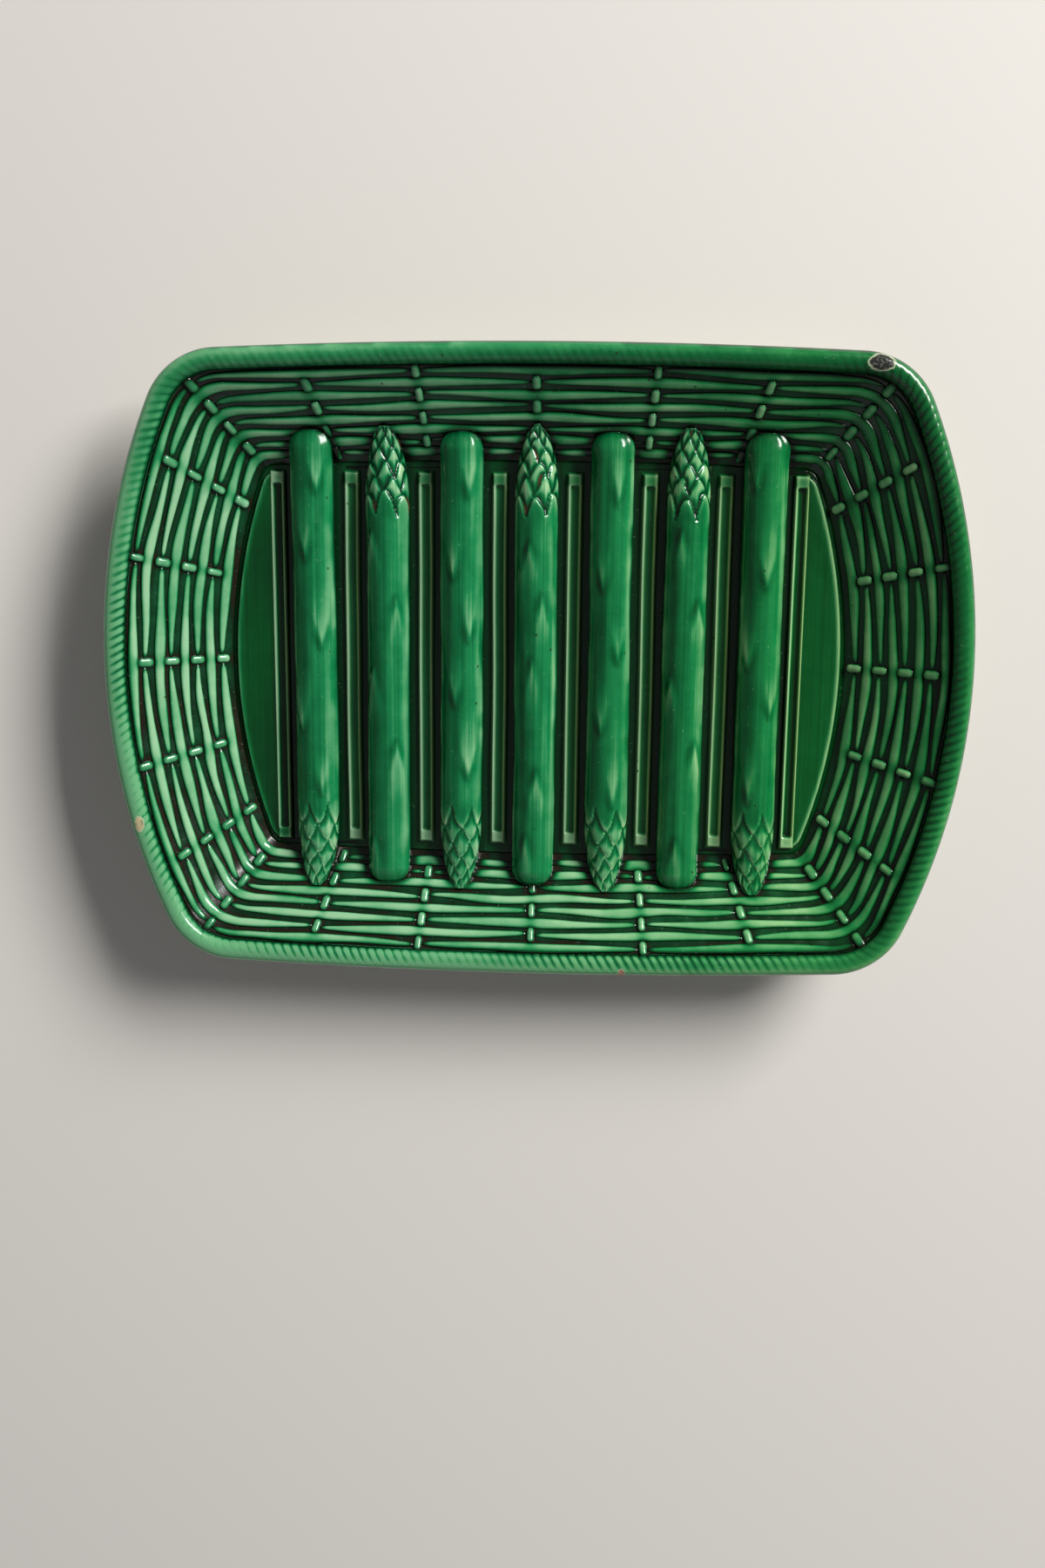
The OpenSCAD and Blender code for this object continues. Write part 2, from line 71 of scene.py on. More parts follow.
# -------------------------------- outlines
def barrel(half_l, half_w, side_r, edge_r, round_r):
    """A quarter of a barrel outline from +x round to +y, as arcs: centre, radius, angle, length."""
    side_c = np.array([half_l - side_r, 0.0])
    edge_c = np.array([0.0, half_w - edge_r])
    gap = np.linalg.norm(edge_c - side_c)
    along = (edge_c - side_c) / gap
    near_r, far_r = side_r - round_r, edge_r - round_r
    foot = (near_r ** 2 - far_r ** 2 + gap ** 2) / (2 * gap)
    off = math.sqrt(near_r ** 2 - foot ** 2)
    corner_c = side_c + foot * along + off * np.array([-along[1], along[0]])
    first = math.atan2(corner_c[1] - side_c[1], corner_c[0] - side_c[0])
    last = math.atan2(corner_c[1] - edge_c[1], corner_c[0] - edge_c[0])
    return [(side_c, side_r, 0.0, side_r * first),
            (corner_c, round_r, first, round_r * (last - first)),
            (edge_c, edge_r, last, edge_r * (math.pi / 2 - last))]


def rim(inset):
    return barrel(PLATE_L / 2 - inset, PLATE_W / 2 - inset, SIDE_R - inset, EDGE_R - inset,
                  CORNER_R - inset)


def floor_ring(inset):
    return barrel(FLOOR_L / 2 - inset, FLOOR_W / 2 - inset, SIDE_R - SIDE_RUN - inset,
                  EDGE_R - EDGE_RUN - inset, FLOOR_R)


def quarter_len(arcs):
    return arcs[0][3] + arcs[1][3] + arcs[2][3]


def on_quarter(arcs, s):
    """Points at the distances s along a quarter outline."""
    l0, l1 = arcs[0][3], arcs[1][3]
    out = np.zeros(s.shape + (2,))
    for k, (start, mask) in enumerate(((0.0, s < l0), (l0, (s >= l0) & (s < l0 + l1)),
                                       (l0 + l1, s >= l0 + l1))):
        c, r, a0, _ = arcs[k]
        ang = a0 + (s[mask] - start) / r
        out[mask, 0] = c[0] + r * np.cos(ang)
        out[mask, 1] = c[1] + r * np.sin(ang)
    return out


def fold(p, q):
    """Points of the first quarter, mirrored into the quarters q."""
    p[..., 0] = np.where((q == 0) | (q == 3), p[..., 0], -p[..., 0])
    p[..., 1] = np.where(q < 2, p[..., 1], -p[..., 1])
    return p


def on_barrel(arcs, s):
    """Points at the distances s round the whole outline."""
    quarter = quarter_len(arcs)
    w = np.mod(s, 4 * quarter)
    q = np.minimum(3, np.floor(w / quarter))
    rest = w - q * quarter
    return fold(on_quarter(arcs, np.where(q % 2 == 0, rest, quarter - rest)), q)


def stake_marks(arcs, side_share, edge_share):
    """Where the stakes of a quarter stand along its outline."""
    side = arcs[0][3] + arcs[1][3] / 2
    edge = arcs[2][3] + arcs[1][3] / 2
    return [0, side_share[0] * side, side_share[1] * side, side,
            side + (1 - edge_share[1]) * edge, side + (1 - edge_share[0]) * edge, side + edge]


def at_stake(arcs, marks, u):
    """Points of the outline at u, which counts stakes and shares of the way to the next one."""
    w = np.mod(u, STAKES)
    q = np.minimum(3, np.floor(w / QUARTER_STAKES))
    rest = w - q * QUARTER_STAKES
    x = np.where(q % 2 == 0, rest, QUARTER_STAKES - rest)
    return fold(on_quarter(arcs, np.interp(x, np.arange(QUARTER_STAKES + 1), marks)), q)


RIM_SHARES = ((0.37, 0.73), (0.343, 0.672))
FLOOR_SHARES = ((0.42, 0.78), (0.393, 0.72))
FLOOR_A = floor_ring(0)
SEAT_A = rim(ROPE_W)
EDGE_A = rim(OVERHANG)
FLOOR_S = stake_marks(FLOOR_A, *FLOOR_SHARES)
SEAT_S = stake_marks(SEAT_A, *RIM_SHARES)
EDGE_S = stake_marks(EDGE_A, *RIM_SHARES)


def on_stake(u, h):
    """Points on the stakes' lines, at the share h of the way from the floor to the seat."""
    low = at_stake(FLOOR_A, FLOOR_S, u)
    high = at_stake(SEAT_A, SEAT_S, u)
    return low + h[..., None] * (high - low)


def unit(v):
    return v / np.maximum(np.linalg.norm(v, axis=-1, keepdims=True), 1e-9)


def wall(u, h):
    """Point, way up, inward normal and row distance on the wall."""
    u, h = np.broadcast_arrays(np.asarray(u, float), np.asarray(h, float))
    p = on_stake(u, h)
    out = at_stake(SEAT_A, SEAT_S, u) - at_stake(FLOOR_A, FLOOR_S, u)
    run = np.linalg.norm(out, axis=-1)
    slope = np.sqrt(run ** 2 + WALL_RISE ** 2)
    way = np.stack([out[..., 0] / slope, out[..., 1] / slope, WALL_RISE / slope], -1)
    step = 0.03
    along = on_stake(u + step, h) - on_stake(u - step, h)
    along = np.concatenate([along, np.zeros(along.shape[:-1] + (1,))], -1)
    n = unit(np.cross(way, along))
    pos = np.concatenate([p, (FLOOR_Z + h * WALL_RISE)[..., None]], -1)
    return pos, way, n, slope / ROWS_SHARE


def row_height(row):
    return (ROWS - row + FIRST_ROW) / ROWS_SHARE


def waves(x, y, scale, seed, n=7):
    """Smooth noise of about -1 to 1 from n seeded waves, about scale long."""
    r = np.random.default_rng(seed)
    out = 0
    for _ in range(n):
        a = r.uniform(0, 2 * math.pi)
        f = (0.6 + 0.9 * r.random()) * 2 * math.pi / scale
        out = out + np.sin(f * (x * math.cos(a) + y * math.sin(a)) + r.uniform(0, 2 * math.pi))
    return out / math.sqrt(n / 2) * 0.6


def ripple(s, scale, seed):
    """The same noise along one direction."""
    return waves(s, 0 * s, scale, seed)


def smoothstep(a, b, x):
    t = np.clip((x - a) / (b - a), 0, 1)
    return t * t * (3 - 2 * t)


def bell(x, width):
    return np.exp(-(x / width) ** 2)


# -------------------------------- meshes
PARTS = []          # every piece: name, vertices in mm, faces, attributes, nodes, slot, material


def add(name, verts, quads, ngons=(), *, nodes, slot, mat, attrs=None):
    PARTS.append(dict(name=name, verts=verts.reshape(-1, 3), quads=quads, ngons=ngons,
                      nodes=nodes, slot=slot, mat=mat, attrs=attrs or {}))


def grid_faces(nu, nv, loop_u=False, loop_v=False):
    """The quads of a sheet of nu by nv points."""
    iu = np.arange(nu if loop_u else nu - 1)
    iv = np.arange(nv if loop_v else nv - 1)
    a, b = np.meshgrid(iu, iv, indexing="ij")
    a2, b2 = (a + 1) % nu, (b + 1) % nv
    return np.stack([a * nv + b, a2 * nv + b, a2 * nv + b2, a * nv + b2], -1).reshape(-1, 4)


def end_caps(n_rings, n):
    """The first and the last ring of a tube, each as one face."""
    return [list(range(n)), [(n_rings - 1) * n + j for j in range(n)][::-1]]


def turned(faces):
    return [f[::-1] for f in faces]


def pad(x, y, z, zb):
    """A closed solid: the sheet x, y, z on top and a flat underside at zb."""
    nu, nv = z.shape
    top = np.stack([x, y, z], -1).reshape(-1, 3)
    ring = np.concatenate([np.arange(nv - 1), np.arange(nu - 1) * nv + nv - 1,
                           (nu - 1) * nv + np.arange(nv - 1, 0, -1), np.arange(nu - 1, 0, -1) * nv])
    low = top[ring].copy()
    low[:, 2] = zb
    n = len(top)
    k = len(ring)
    skirt = np.stack([np.arange(k) + n, np.roll(np.arange(k), -1) + n, np.roll(ring, -1), ring], -1)
    quads = np.concatenate([grid_faces(nu, nv), skirt[:, ::-1]])
    return np.concatenate([top, low]), quads, [list(range(n, n + k))]


def merge(solids):
    """Several closed solids as one piece."""
    verts, quads, ngons, start = [], [], [], 0
    for v, q, g in solids:
        verts.append(v)
        quads.append(q + start)
        ngons += [[i + start for i in f] for f in g]
        start += len(v)
    return np.concatenate(verts), np.concatenate(quads), ngons


def soften(a, along, across):
    """The field a with its steps rounded, each count a pass of a short kernel."""
    for axis, count in ((0, along), (1, across)):
        for _ in range(count):
            before = np.take(a, np.r_[0, np.arange(a.shape[axis] - 1)], axis)
            after = np.take(a, np.r_[np.arange(1, a.shape[axis]), a.shape[axis] - 1], axis)
            a = 0.25 * before + 0.5 * a + 0.25 * after
    return a


def volume(v, quads, ngons):
    """Six times the signed volume inside the faces, negative where they face inwards."""
    a, b, c, d = (v[quads[:, k]] for k in range(4))
    total = np.einsum("ij,ij->", a, np.cross(b, c)) + np.einsum("ij,ij->", a, np.cross(c, d))
    for f in ngons:
        p = v[f]
        fan = np.cross(p[1:-1], p[2:])
        total += np.einsum("ij,ij->", np.broadcast_to(p[0], fan.shape), fan)
    return total


def at_height(xy, z):
    return np.concatenate([xy, np.full((len(xy), 1), z)], 1)


# -------------------------------- the dish
def floor_piece():
    """The floor, barely uneven, out to the foot of the wall and down inside the dish."""
    nu, nt = 1100, 78
    u = np.arange(nu) / nu * STAKES
    t = np.linspace(1.0, 0.02, nt)
    edge = at_stake(FLOOR_A, FLOOR_S, u)
    x = edge[:, None, 0] * t
    y = edge[:, None, 1] * t
    z = np.minimum(FLOOR_Z + 0.12 * waves(x, y, 60, 3), FLOOR_Z + 0.25)
    z[:, 0] = FLOOR_Z + 0.05
    top = np.stack([x, y, z], -1)
    low = at_height(edge, FLOOR_Z - 3.0)[:, None]
    verts = np.concatenate([low, top], 1)
    quads = grid_faces(nu, nt + 1, loop_u=True)
    add("dish_floor", verts, quads,
        [[i * (nt + 1) + nt for i in range(nu)], [i * (nt + 1) for i in range(nu)][::-1]],
        nodes=("dish_body",), slot="dish_glaze", mat="dish")


def wall_piece():
    """The leaning wall behind the weave, closed by two rings inside the dish."""
    nu, nh = 1320, 66
    u = np.arange(nu) / nu * STAKES
    h = np.linspace(-0.006, 1.0, nh)
    u, h = np.meshgrid(u, h, indexing="ij")
    p, _, n, _ = wall(u, h)
    p = p + n * (0.10 * waves(p[..., 0], p[..., 1], 40, 5))[..., None]
    back = p[:, [-1, 0]] - np.array([0, 0, 1.0]) * np.array([2.6, 3.2])[None, :, None]
    verts = np.concatenate([p, back], 1)
    quads = grid_faces(nu, nh + 2, loop_u=True, loop_v=True)
    add("dish_wall", verts, quads, nodes=("dish_body",), slot="dish_glaze", mat="wall")


def shell_piece():
    """Outside of the dish: land under the rope, rounded edge, leaning back and underside."""
    nu = 720
    u = np.arange(nu) / nu * STAKES
    seat = at_stake(SEAT_A, SEAT_S, u)
    edge = at_stake(EDGE_A, EDGE_S, u)
    foot = at_stake(FLOOR_A, FLOOR_S, u)
    lean = math.atan2(WALL_RISE, EDGE_RUN - ROPE_W)
    back = max(0.0, (WALL_T / math.cos(lean) - (FLOOR_Z - FOOT_H)) / WALL_RISE)
    low = foot + back * (seat - foot)
    rings = [(seat, SEAT_Z - 0.02)]
    rings += [(seat + s * (edge - seat), SEAT_Z) for s in (0.3, 0.6, 0.85)]
    inward = unit(seat - edge)
    for a in np.linspace(90, -60, 7):
        c = math.cos(math.radians(a))
        s = math.sin(math.radians(a))
        rings.append((edge + inward * LIP_IN * (1 - c), SEAT_Z - LIP_R + LIP_R * s))
    top_xy, top_z = rings[-1]
    for t in np.linspace(0.04, 0.97, 16):
        bow = 0.5 * math.sin(math.pi * t)
        xy = top_xy + t * (low - top_xy)
        rings.append((xy + bow * unit(seat - foot) * 0.6, top_z + t * (FOOT_H - top_z)))
    rings += [(low * t, FOOT_H) for t in (1.0, 0.985, 0.96, 0.9, 0.8, 0.6, 0.3, 0.05)]
    inside = [(foot * 0.995, FLOOR_Z - 2.0), (seat * 0.999, SEAT_Z - 1.5)]
    verts = np.stack([at_height(xy, z) for xy, z in inside + rings], 1)
    n = verts.shape[1]
    quads = grid_faces(nu, n, loop_u=True)
    add("dish_shell", verts, quads[:, ::-1],
        [[i * n for i in range(nu)], [i * n + n - 1 for i in range(nu)][::-1]],
        nodes=("dish_body",), slot="dish_glaze", mat="back")


# The foot ring's section: share of the way from its outer to its inner edge, and height
FOOT_PROFILE = [(0.0, FOOT_H + 0.6), (0.0, 3.6), (0.015, 2.2), (0.05, 1.0), (0.12, 0.35),
                (0.22, 0.06), (0.34, 0.0), (0.66, 0.0), (0.78, 0.06), (0.88, 0.35), (0.95, 1.0),
                (0.985, 2.2), (1.0, 3.6), (1.0, FOOT_H + 0.6)]


def foot_piece():
    nu = 720
    u = np.arange(nu) / nu * STAKES
    out_a, in_a = floor_ring(FOOT_OUT), floor_ring(FOOT_IN)
    outer = at_stake(out_a, stake_marks(out_a, *FLOOR_SHARES), u)
    inner = at_stake(in_a, stake_marks(in_a, *FLOOR_SHARES), u)
    rings = []
    for share, z in FOOT_PROFILE:
        p = outer + share * (inner - outer)
        ring = at_height(p, z)
        if 0 < z < 3:
            ring[:, 2] = np.maximum(ring[:, 2] + 0.05 * waves(p[:, 0], p[:, 1], 14, 9), 0.0)
        rings.append(ring)
    verts = np.stack(rings, 1)
    quads = grid_faces(nu, len(FOOT_PROFILE), loop_u=True, loop_v=True)
    add("foot_tread", verts, quads[:, ::-1], nodes=("foot_ring",), slot="foot_clay",
        mat="foot")


# -------------------------------- rope
def rope_piece():
    """The rope round the rim. Its attributes guide the glaze: dark grooves of pooled glaze and
    painted shade, and pale crests.
    """
    half = ROPE_W / 2
    arcs = rim(half)
    total = 4 * quarter_len(arcs)
    ns, na = ROPE_TURNS * 14, 22
    s = np.arange(ns) / ns * total
    ang = np.linspace(-0.10, math.pi + 0.10, na)
    s, ang = np.meshgrid(s, ang, indexing="ij")
    centre = on_barrel(arcs, s)
    ahead = on_barrel(arcs, s + 0.5) - on_barrel(arcs, s - 0.5)
    out = unit(np.stack([ahead[..., 1], -ahead[..., 0]], -1))
    ca, sa = np.cos(ang), np.sin(ang)
    cx, cy = centre[..., 0], centre[..., 1]
    # how much relief is left: it comes and goes, and is faint along the far side
    worn = np.clip(0.72 + 0.75 * waves(cx, cy, 95, 21), 0.12, 1.2)
    worn = worn * (1 - 0.8 * smoothstep(90, 112, cy) * smoothstep(115, 70, cx))
    # the grooves lean with the lay of the rope, and are deep on its inner half only
    phase = (s - ROPE_LEAN * ca) / total * ROPE_TURNS + 0.16 * ripple(s, 60, 23)
    gap = total / ROPE_TURNS
    off = phase - np.round(phase)
    groove = bell(off * gap, 0.62 + 0.12 * waves(cx, cy, 30, 22))
    strand = 0.5 + 0.5 * np.cos(2 * math.pi * (phase + 0.5))
    inner = smoothstep(0.75, -0.65, ca)
    depth = (0.015 + 0.10 * inner) * worn
    r = half - 0.05 - groove * depth
    rounded = np.sign(sa) * np.abs(sa) ** 0.8
    rise = ROPE_H - 0.2 + 0.12 * ripple(s, 90, 25)
    z = SEAT_Z + rise * rounded - (groove * depth + 0.02 * (1 - strand) * worn) * np.clip(sa, 0, 1)
    z = np.minimum(z, SEAT_Z + ROPE_H - 0.02)
    x = cx + r * np.sign(ca) * np.abs(ca) ** 0.9 * out[..., 0]
    y = cy + r * np.sign(ca) * np.abs(ca) ** 0.9 * out[..., 1]
    verts = np.stack([x, y, z], -1)
    quads = grid_faces(ns, na, loop_u=True, loop_v=True)
    add("rope_edge", verts, quads, nodes=("rope_rim",), slot="rope_glaze", mat="rope",
        attrs=dict(pool_and_shade=groove * (0.06 + 0.94 * inner) * worn,
                   crest=smoothstep(-0.45, 0.5, ca) + 0.15 * strand * (1 - groove) * inner))


# -------------------------------- weave
def weaver_solid(row, stake):
    """One weaver: over its own stake, and in under the next one at each end."""
    h0 = row_height(row)
    r = np.random.default_rng(1000 * row + stake)
    p0 = wall(float(stake), h0)[0]
    ends = []
    for side in (-1, 1):
        q, _, _, pitch = wall(float(stake + side), h0)
        ends.append((STAKE_W / 2 * pitch + WEAVE_GAP) / np.linalg.norm(q - p0))
    first, last = stake - 1 + ends[0], stake + 1 - ends[1]
    nl, nq = 84, 13
    u = np.linspace(first, last, nl)
    t = u - stake
    reach = np.where(t < 0, t / (first - stake), t / (last - stake))
    q = np.linspace(-1, 1, nq)
    wide = (WEAVER_W + 0.04 * r.standard_normal()) / 2
    width = wide * (1 - 0.62 * np.abs(t) ** 1.5) * (1 - smoothstep(0.90, 1.0, reach) * 0.35)
    width = width * (1 + 0.12 * ripple(u * 30, 24, int(r.integers(1 << 30))))
    high = (WEAVER_H + 0.08 * r.standard_normal()) * (1 - 0.55 * np.abs(t) ** 2.0) \
        * (1 - smoothstep(0.93, 1.0, reach) * 0.5)
    wob = 0.10 * ripple(u * 30, 40, int(r.integers(1 << 30)))
    p, way, n, pitch = wall(u, h0 + wob / ROWS_SHARE)
    # section: flat below, and its two lowest points sunk into the wall
    brink = np.abs(q) > 0.999
    sec_w = np.sign(q) * np.abs(q) ** 0.9
    sec_h = (1 - np.abs(q) ** 2.4) ** 0.62 - brink * 0.35
    body = (p[:, None] + way[:, None] * (width * pitch)[:, None, None] * sec_w[None, :, None]
            + n[:, None] * (high[:, None] * np.maximum(sec_h, 0)[None, :]
                            - WEAVE_SINK * brink[None, :])[..., None])
    return body.reshape(-1, 3), grid_faces(nl, nq, loop_v=True), end_caps(nl, nq)


def weaver_rows():
    for row in range(1, ROWS + 1):
        v, q, g = merge([weaver_solid(row, k) for k in range(STAKES) if (k + row) % 2 == 1])
        add("weavers_%d" % row, v, q[:, ::-1], turned(g), nodes=("weaver_row_%d" % row,),
            slot="weaver_glaze", mat="weave")


def knot_solid(row, stake):
    """The short length of a stake that shows between two weavers."""
    p, way, n, pitch = wall(float(stake), row_height(row))
    across = unit(np.cross(n, way))
    r = np.random.default_rng(5000 + 100 * row + stake)
    half_l = KNOT_L * pitch * (1 + 0.04 * r.standard_normal())
    half_w = KNOT_W * pitch * (1 + 0.06 * r.standard_normal())
    high = KNOT_H + 0.10 * r.standard_normal()
    nl, nq = 17, 11
    a = np.linspace(-1, 1, nl)
    q = np.linspace(0, math.pi, nq)
    end = np.maximum((1 - np.abs(a) ** 4.5) ** 0.5, 0.12)
    sec_w = np.cos(q)
    sec_h = np.sin(q) ** 0.75
    thick = high * (0.35 + 0.65 * end)[:, None] * end[:, None] ** 0.3 * sec_h[None]
    body = (p + way * (half_l * a)[:, None, None]
            + across * (half_w * end[:, None] * sec_w[None])[..., None]
            + n * thick[..., None] - n * (WEAVE_SINK * (np.abs(sec_w) > 0.999))[None, :, None])
    return body.reshape(-1, 3), grid_faces(nl, nq, loop_v=True), end_caps(nl, nq)


def knots():
    groups = dict(right=[22, 23, 0, 1, 2], far=[4, 5, 6, 7, 8], left=[10, 11, 12, 13, 14],
                  near=[16, 17, 18, 19, 20], corner=[3, 9, 15, 21])
    for side, numbers in groups.items():
        v, q, g = merge([knot_solid(row, k) for k in numbers for row in range(1, ROWS + 1)
                         if (k + row) % 2 == 0])
        add("knots_" + side, v, q, g, nodes=("stakes_" + side,), slot="stake_glaze", mat="knot")


# -------------------------------- bars and end panels
def slotted(x, y):
    """Height of a slotted bar over its foot, at x across and y along it, and where its slot is."""
    end = smoothstep(0, 1.4, BAR_L / 2 - np.abs(y))
    across = smoothstep(-0.1, 1.5, BAR_W / 2 - 0.05 - np.abs(x))
    slot = smoothstep(2.4, 0.8, np.abs(x)) * smoothstep(-0.5, 0.5, BAR_L / 2 - SLOT_END - np.abs(y))
    return (BAR_H * across - slot * SLOT_DEEP) * end, slot


def ridges(x, y, slot):
    """The bar's left ridge, pale from thin glaze and a broad painted highlight on its slope into
    the slot, its near end, where the glaze runs thin, and its olive right ridge.
    """
    end = smoothstep(BAR_L / 2 - 6.0, BAR_L / 2 - 4.6, np.abs(y))
    left = bell(x + 2.0, 2.5) * (1 - 0.15 * slot) * (1 - 0.7 * end * (y > 0))
    left = np.maximum(left, end * np.where(y < 0, 0.62, 0.1))
    return left, bell(x - 2.2, 0.6) * (1 - 0.4 * slot) * (1 - 0.7 * end)


def bar_grid():
    nx, ny = 31, 330
    return np.meshgrid(np.linspace(-BAR_W / 2, BAR_W / 2, nx),
                       np.linspace(-BAR_L / 2, BAR_L / 2, ny), indexing="ij")


def bars():
    for i in range(1, 7):
        x0 = (i - 3.5) * PITCH
        x, y = bar_grid()
        z, slot = slotted(x, y)
        z = z * (1 + 0.05 * waves(x + 10 * i, y, 30, 40 + i))
        v, q, g = pad(x + x0 + 0.15 * ripple(y, 90, 60 + i), y, FLOOR_Z + z, FLOOR_Z - SINK)
        left, right = ridges(x, y, slot)
        add("bar_%d" % i, v, q, g, nodes=("slot_bar_%d" % i,), slot="bar_glaze", mat="bar",
            attrs=dict(pool_and_shade=slot, crest=left + right, rust=0.9 * right))


def panels():
    """The D-shaped panel at each end, with a slotted bar along its straight side."""
    top = PANEL_W / 2
    arcs = barrel(FLOOR_L / 2 - PANEL_INSET, top, SIDE_R - SIDE_RUN - PANEL_INSET,
                  EDGE_R - EDGE_RUN, PANEL_R)
    slot_x = 3.5 * PITCH
    ny, nx = 300, 64
    y = np.linspace(-top, top, ny) * 0.9995
    # how far the curved side reaches at each y
    dense = on_barrel(arcs, np.linspace(0, quarter_len(arcs), 4000))
    order = np.argsort(dense[:, 1])
    reach = np.interp(np.abs(y), dense[order, 1], dense[order, 0])
    t = np.linspace(0, 1, nx) ** 0.9
    x = slot_x + 2.3 + (reach[:, None] - slot_x - 2.3) * t[None, :]
    y = np.repeat(y[:, None], nx, 1)
    edge = np.minimum((reach[:, None] - x) * 0.95, top - np.abs(y))
    bar_x, bar_y = bar_grid()
    bar_z, slot = slotted(bar_x, bar_y)
    for name, sign, rim_glaze in (("right", 1, 0.6), ("left", -1, 0.2)):
        z = PANEL_H * smoothstep(0.0, 1.3, edge) + 0.20 * bell(edge - 1.6, 0.9) \
            + 0.16 * waves(x, y, 55, 71 + sign) * smoothstep(1, 6, edge)
        v, q, g = pad(x * sign, y * sign, FLOOR_Z + z, FLOOR_Z - SINK)
        slab = (v, q[:, ::-1], turned(g))
        bar = pad((bar_x + slot_x) * sign, bar_y * sign, FLOOR_Z + bar_z, FLOOR_Z - SINK)
        v, q, g = merge([slab, bar])
        lead, trail = np.zeros(len(slab[0])), np.zeros(len(bar[0]) - slot.size)
        rim_crest = lead.copy()
        rim_crest[:edge.size] = rim_glaze * bell(edge - 1.0, 1.5).ravel()
        left, right = ridges(bar_x * sign, bar_y, slot)
        add("panel_" + name, v, q, g, nodes=("end_panel_" + name,), slot="panel_glaze", mat="panel",
            attrs=dict(pool_and_shade=np.concatenate([lead, slot.ravel(), trail]),
                       crest=np.concatenate([rim_crest, (left + right).ravel(), trail]),
                       rust=np.concatenate([lead, 0.6 * right.ravel(), trail])))


# -------------------------------- spears
def under(x, y):
    """Height of what a spear lies on: the floor, then the wall's lean."""
    c, r = FLOOR_A[2][0], FLOOR_A[2][1]
    foot = c[1] + np.sqrt(r * r - x * x)
    beyond = np.maximum(np.abs(y) - foot, 0)
    return FLOOR_Z + beyond * WALL_RISE / (EDGE_RUN - ROPE_W)


ROW_STARTS = np.concatenate([[0.0], np.cumsum(np.geomspace(7.4, 3.6, 6))])
ROW_STARTS = ROW_STARTS / ROW_STARTS[-1] * (HEAD_L - 0.5)

# Heads with their tip towards the near edge have shallow scales with pale edges, and the others
# deep scales with pale middles, some of them bare at the root.
HEADS = dict(
    near=dict(depth=0.85, hollow=0.42, pale=0.85, middle=0.62, middle_v=0.5, edge=1.45, edge_w=0.8,
              last_edge=0.9, bare=0.0),
    far=dict(depth=1.25, hollow=0.9, pale=0.28, middle=0.85, middle_v=0.35, edge=0.3, edge_w=0.5,
             last_edge=0.55, bare=0.16))


def scales(along, side, number, rnd):
    """Lift, hollow, crest and bare places of the overlapping pointed scales of a head."""
    look = HEADS["near" if number % 2 else "far"]
    period = math.radians(57)               # from scale to scale round the head
    spin = rnd.uniform(-0.12, 0.12)
    along = along + 0.55 * waves(side * 8.5, along, 13, 320 + number)
    side = side + 0.05 * waves(side * 8.5, along, 9, 325 + number)
    cells = 21
    rows = []
    for k, start in enumerate(ROW_STARTS):
        gap = ROW_STARTS[k + 1] - start if k + 1 < len(ROW_STARTS) else 3.0
        column = (side + spin + 0.09 * rnd.standard_normal()) / period + (k % 2) * 0.5
        v = np.abs(column - np.round(column)) * 2       # 0 down a scale's middle, 1 at its sides
        cell = np.round(column).astype(int) % cells
        jolt = rnd.uniform(-0.18, 0.18, cells)[cell]
        worn = (rnd.random(cells) < look["bare"])[cell]
        rows.append((start + gap * (0.95 + jolt) - gap * 1.15 * v ** 1.7, v, gap, worn))
    lift, pool_and_shade, crest, bare = (np.zeros_like(along) for _ in range(4))
    first, v0 = rows[0][:2]
    done = along < first
    for k in range(1, len(rows)):
        below = rows[k - 1][0]
        above, v, gap, worn = rows[k]
        inside = (~done) & (along < above)
        beyond = np.maximum(along - below, 0)
        f = np.clip(beyond / np.maximum(above - below, 0.4), 0, 1)
        depth = look["depth"] * (1 - 0.25 * k / len(rows))
        rise = smoothstep(-0.05, 0.75, f) * (1 - 0.15 * smoothstep(0.8, 1.0, f) ** 2)
        swell = rise * (1 - 0.4 * v ** 2.2)
        lift = np.where(inside, -depth * (1 - swell), lift)
        # the hollow under the tips of the row below is pooled glaze and a painted shadow of the
        # overlapping scales
        hollow = 1.35 * np.exp(-(beyond / (0.48 * gap)) ** 1.7) * (1 - v) ** 1.1 \
            + 0.22 * np.exp(-(beyond / 1.1) ** 1.5)
        pool_and_shade = np.where(inside, hollow * look["hollow"] - look["pale"], pool_and_shade)
        root = smoothstep(0.24, 0.10, np.hypot(v * 0.7, f - 0.18))
        bare = np.where(inside, worn * root, bare)
        middle = (1 - v) ** look["middle_v"] * smoothstep(0.28, 0.65, f) * smoothstep(1.05, 0.75, f)
        edge = bell(above - along, look["edge_w"])
        crest = np.where(inside, np.maximum(look["middle"] * middle, look["edge"] * edge), crest)
        done = done | (along < above)
    stem = along < first
    edge = bell(first - along, 2.2) * (1 - v0) ** 0.6
    crest = np.where(stem, np.maximum(crest, look["last_edge"] * edge), crest)
    rim_fall = np.clip(1 - (first - along) / 0.7, 0, 1) ** 2
    lift = np.where(stem, 0.12 * smoothstep(-9.0, 0.0, along - first) - 0.25 * rim_fall, lift)
    return lift, np.where(done, pool_and_shade, 0.2), crest, bare


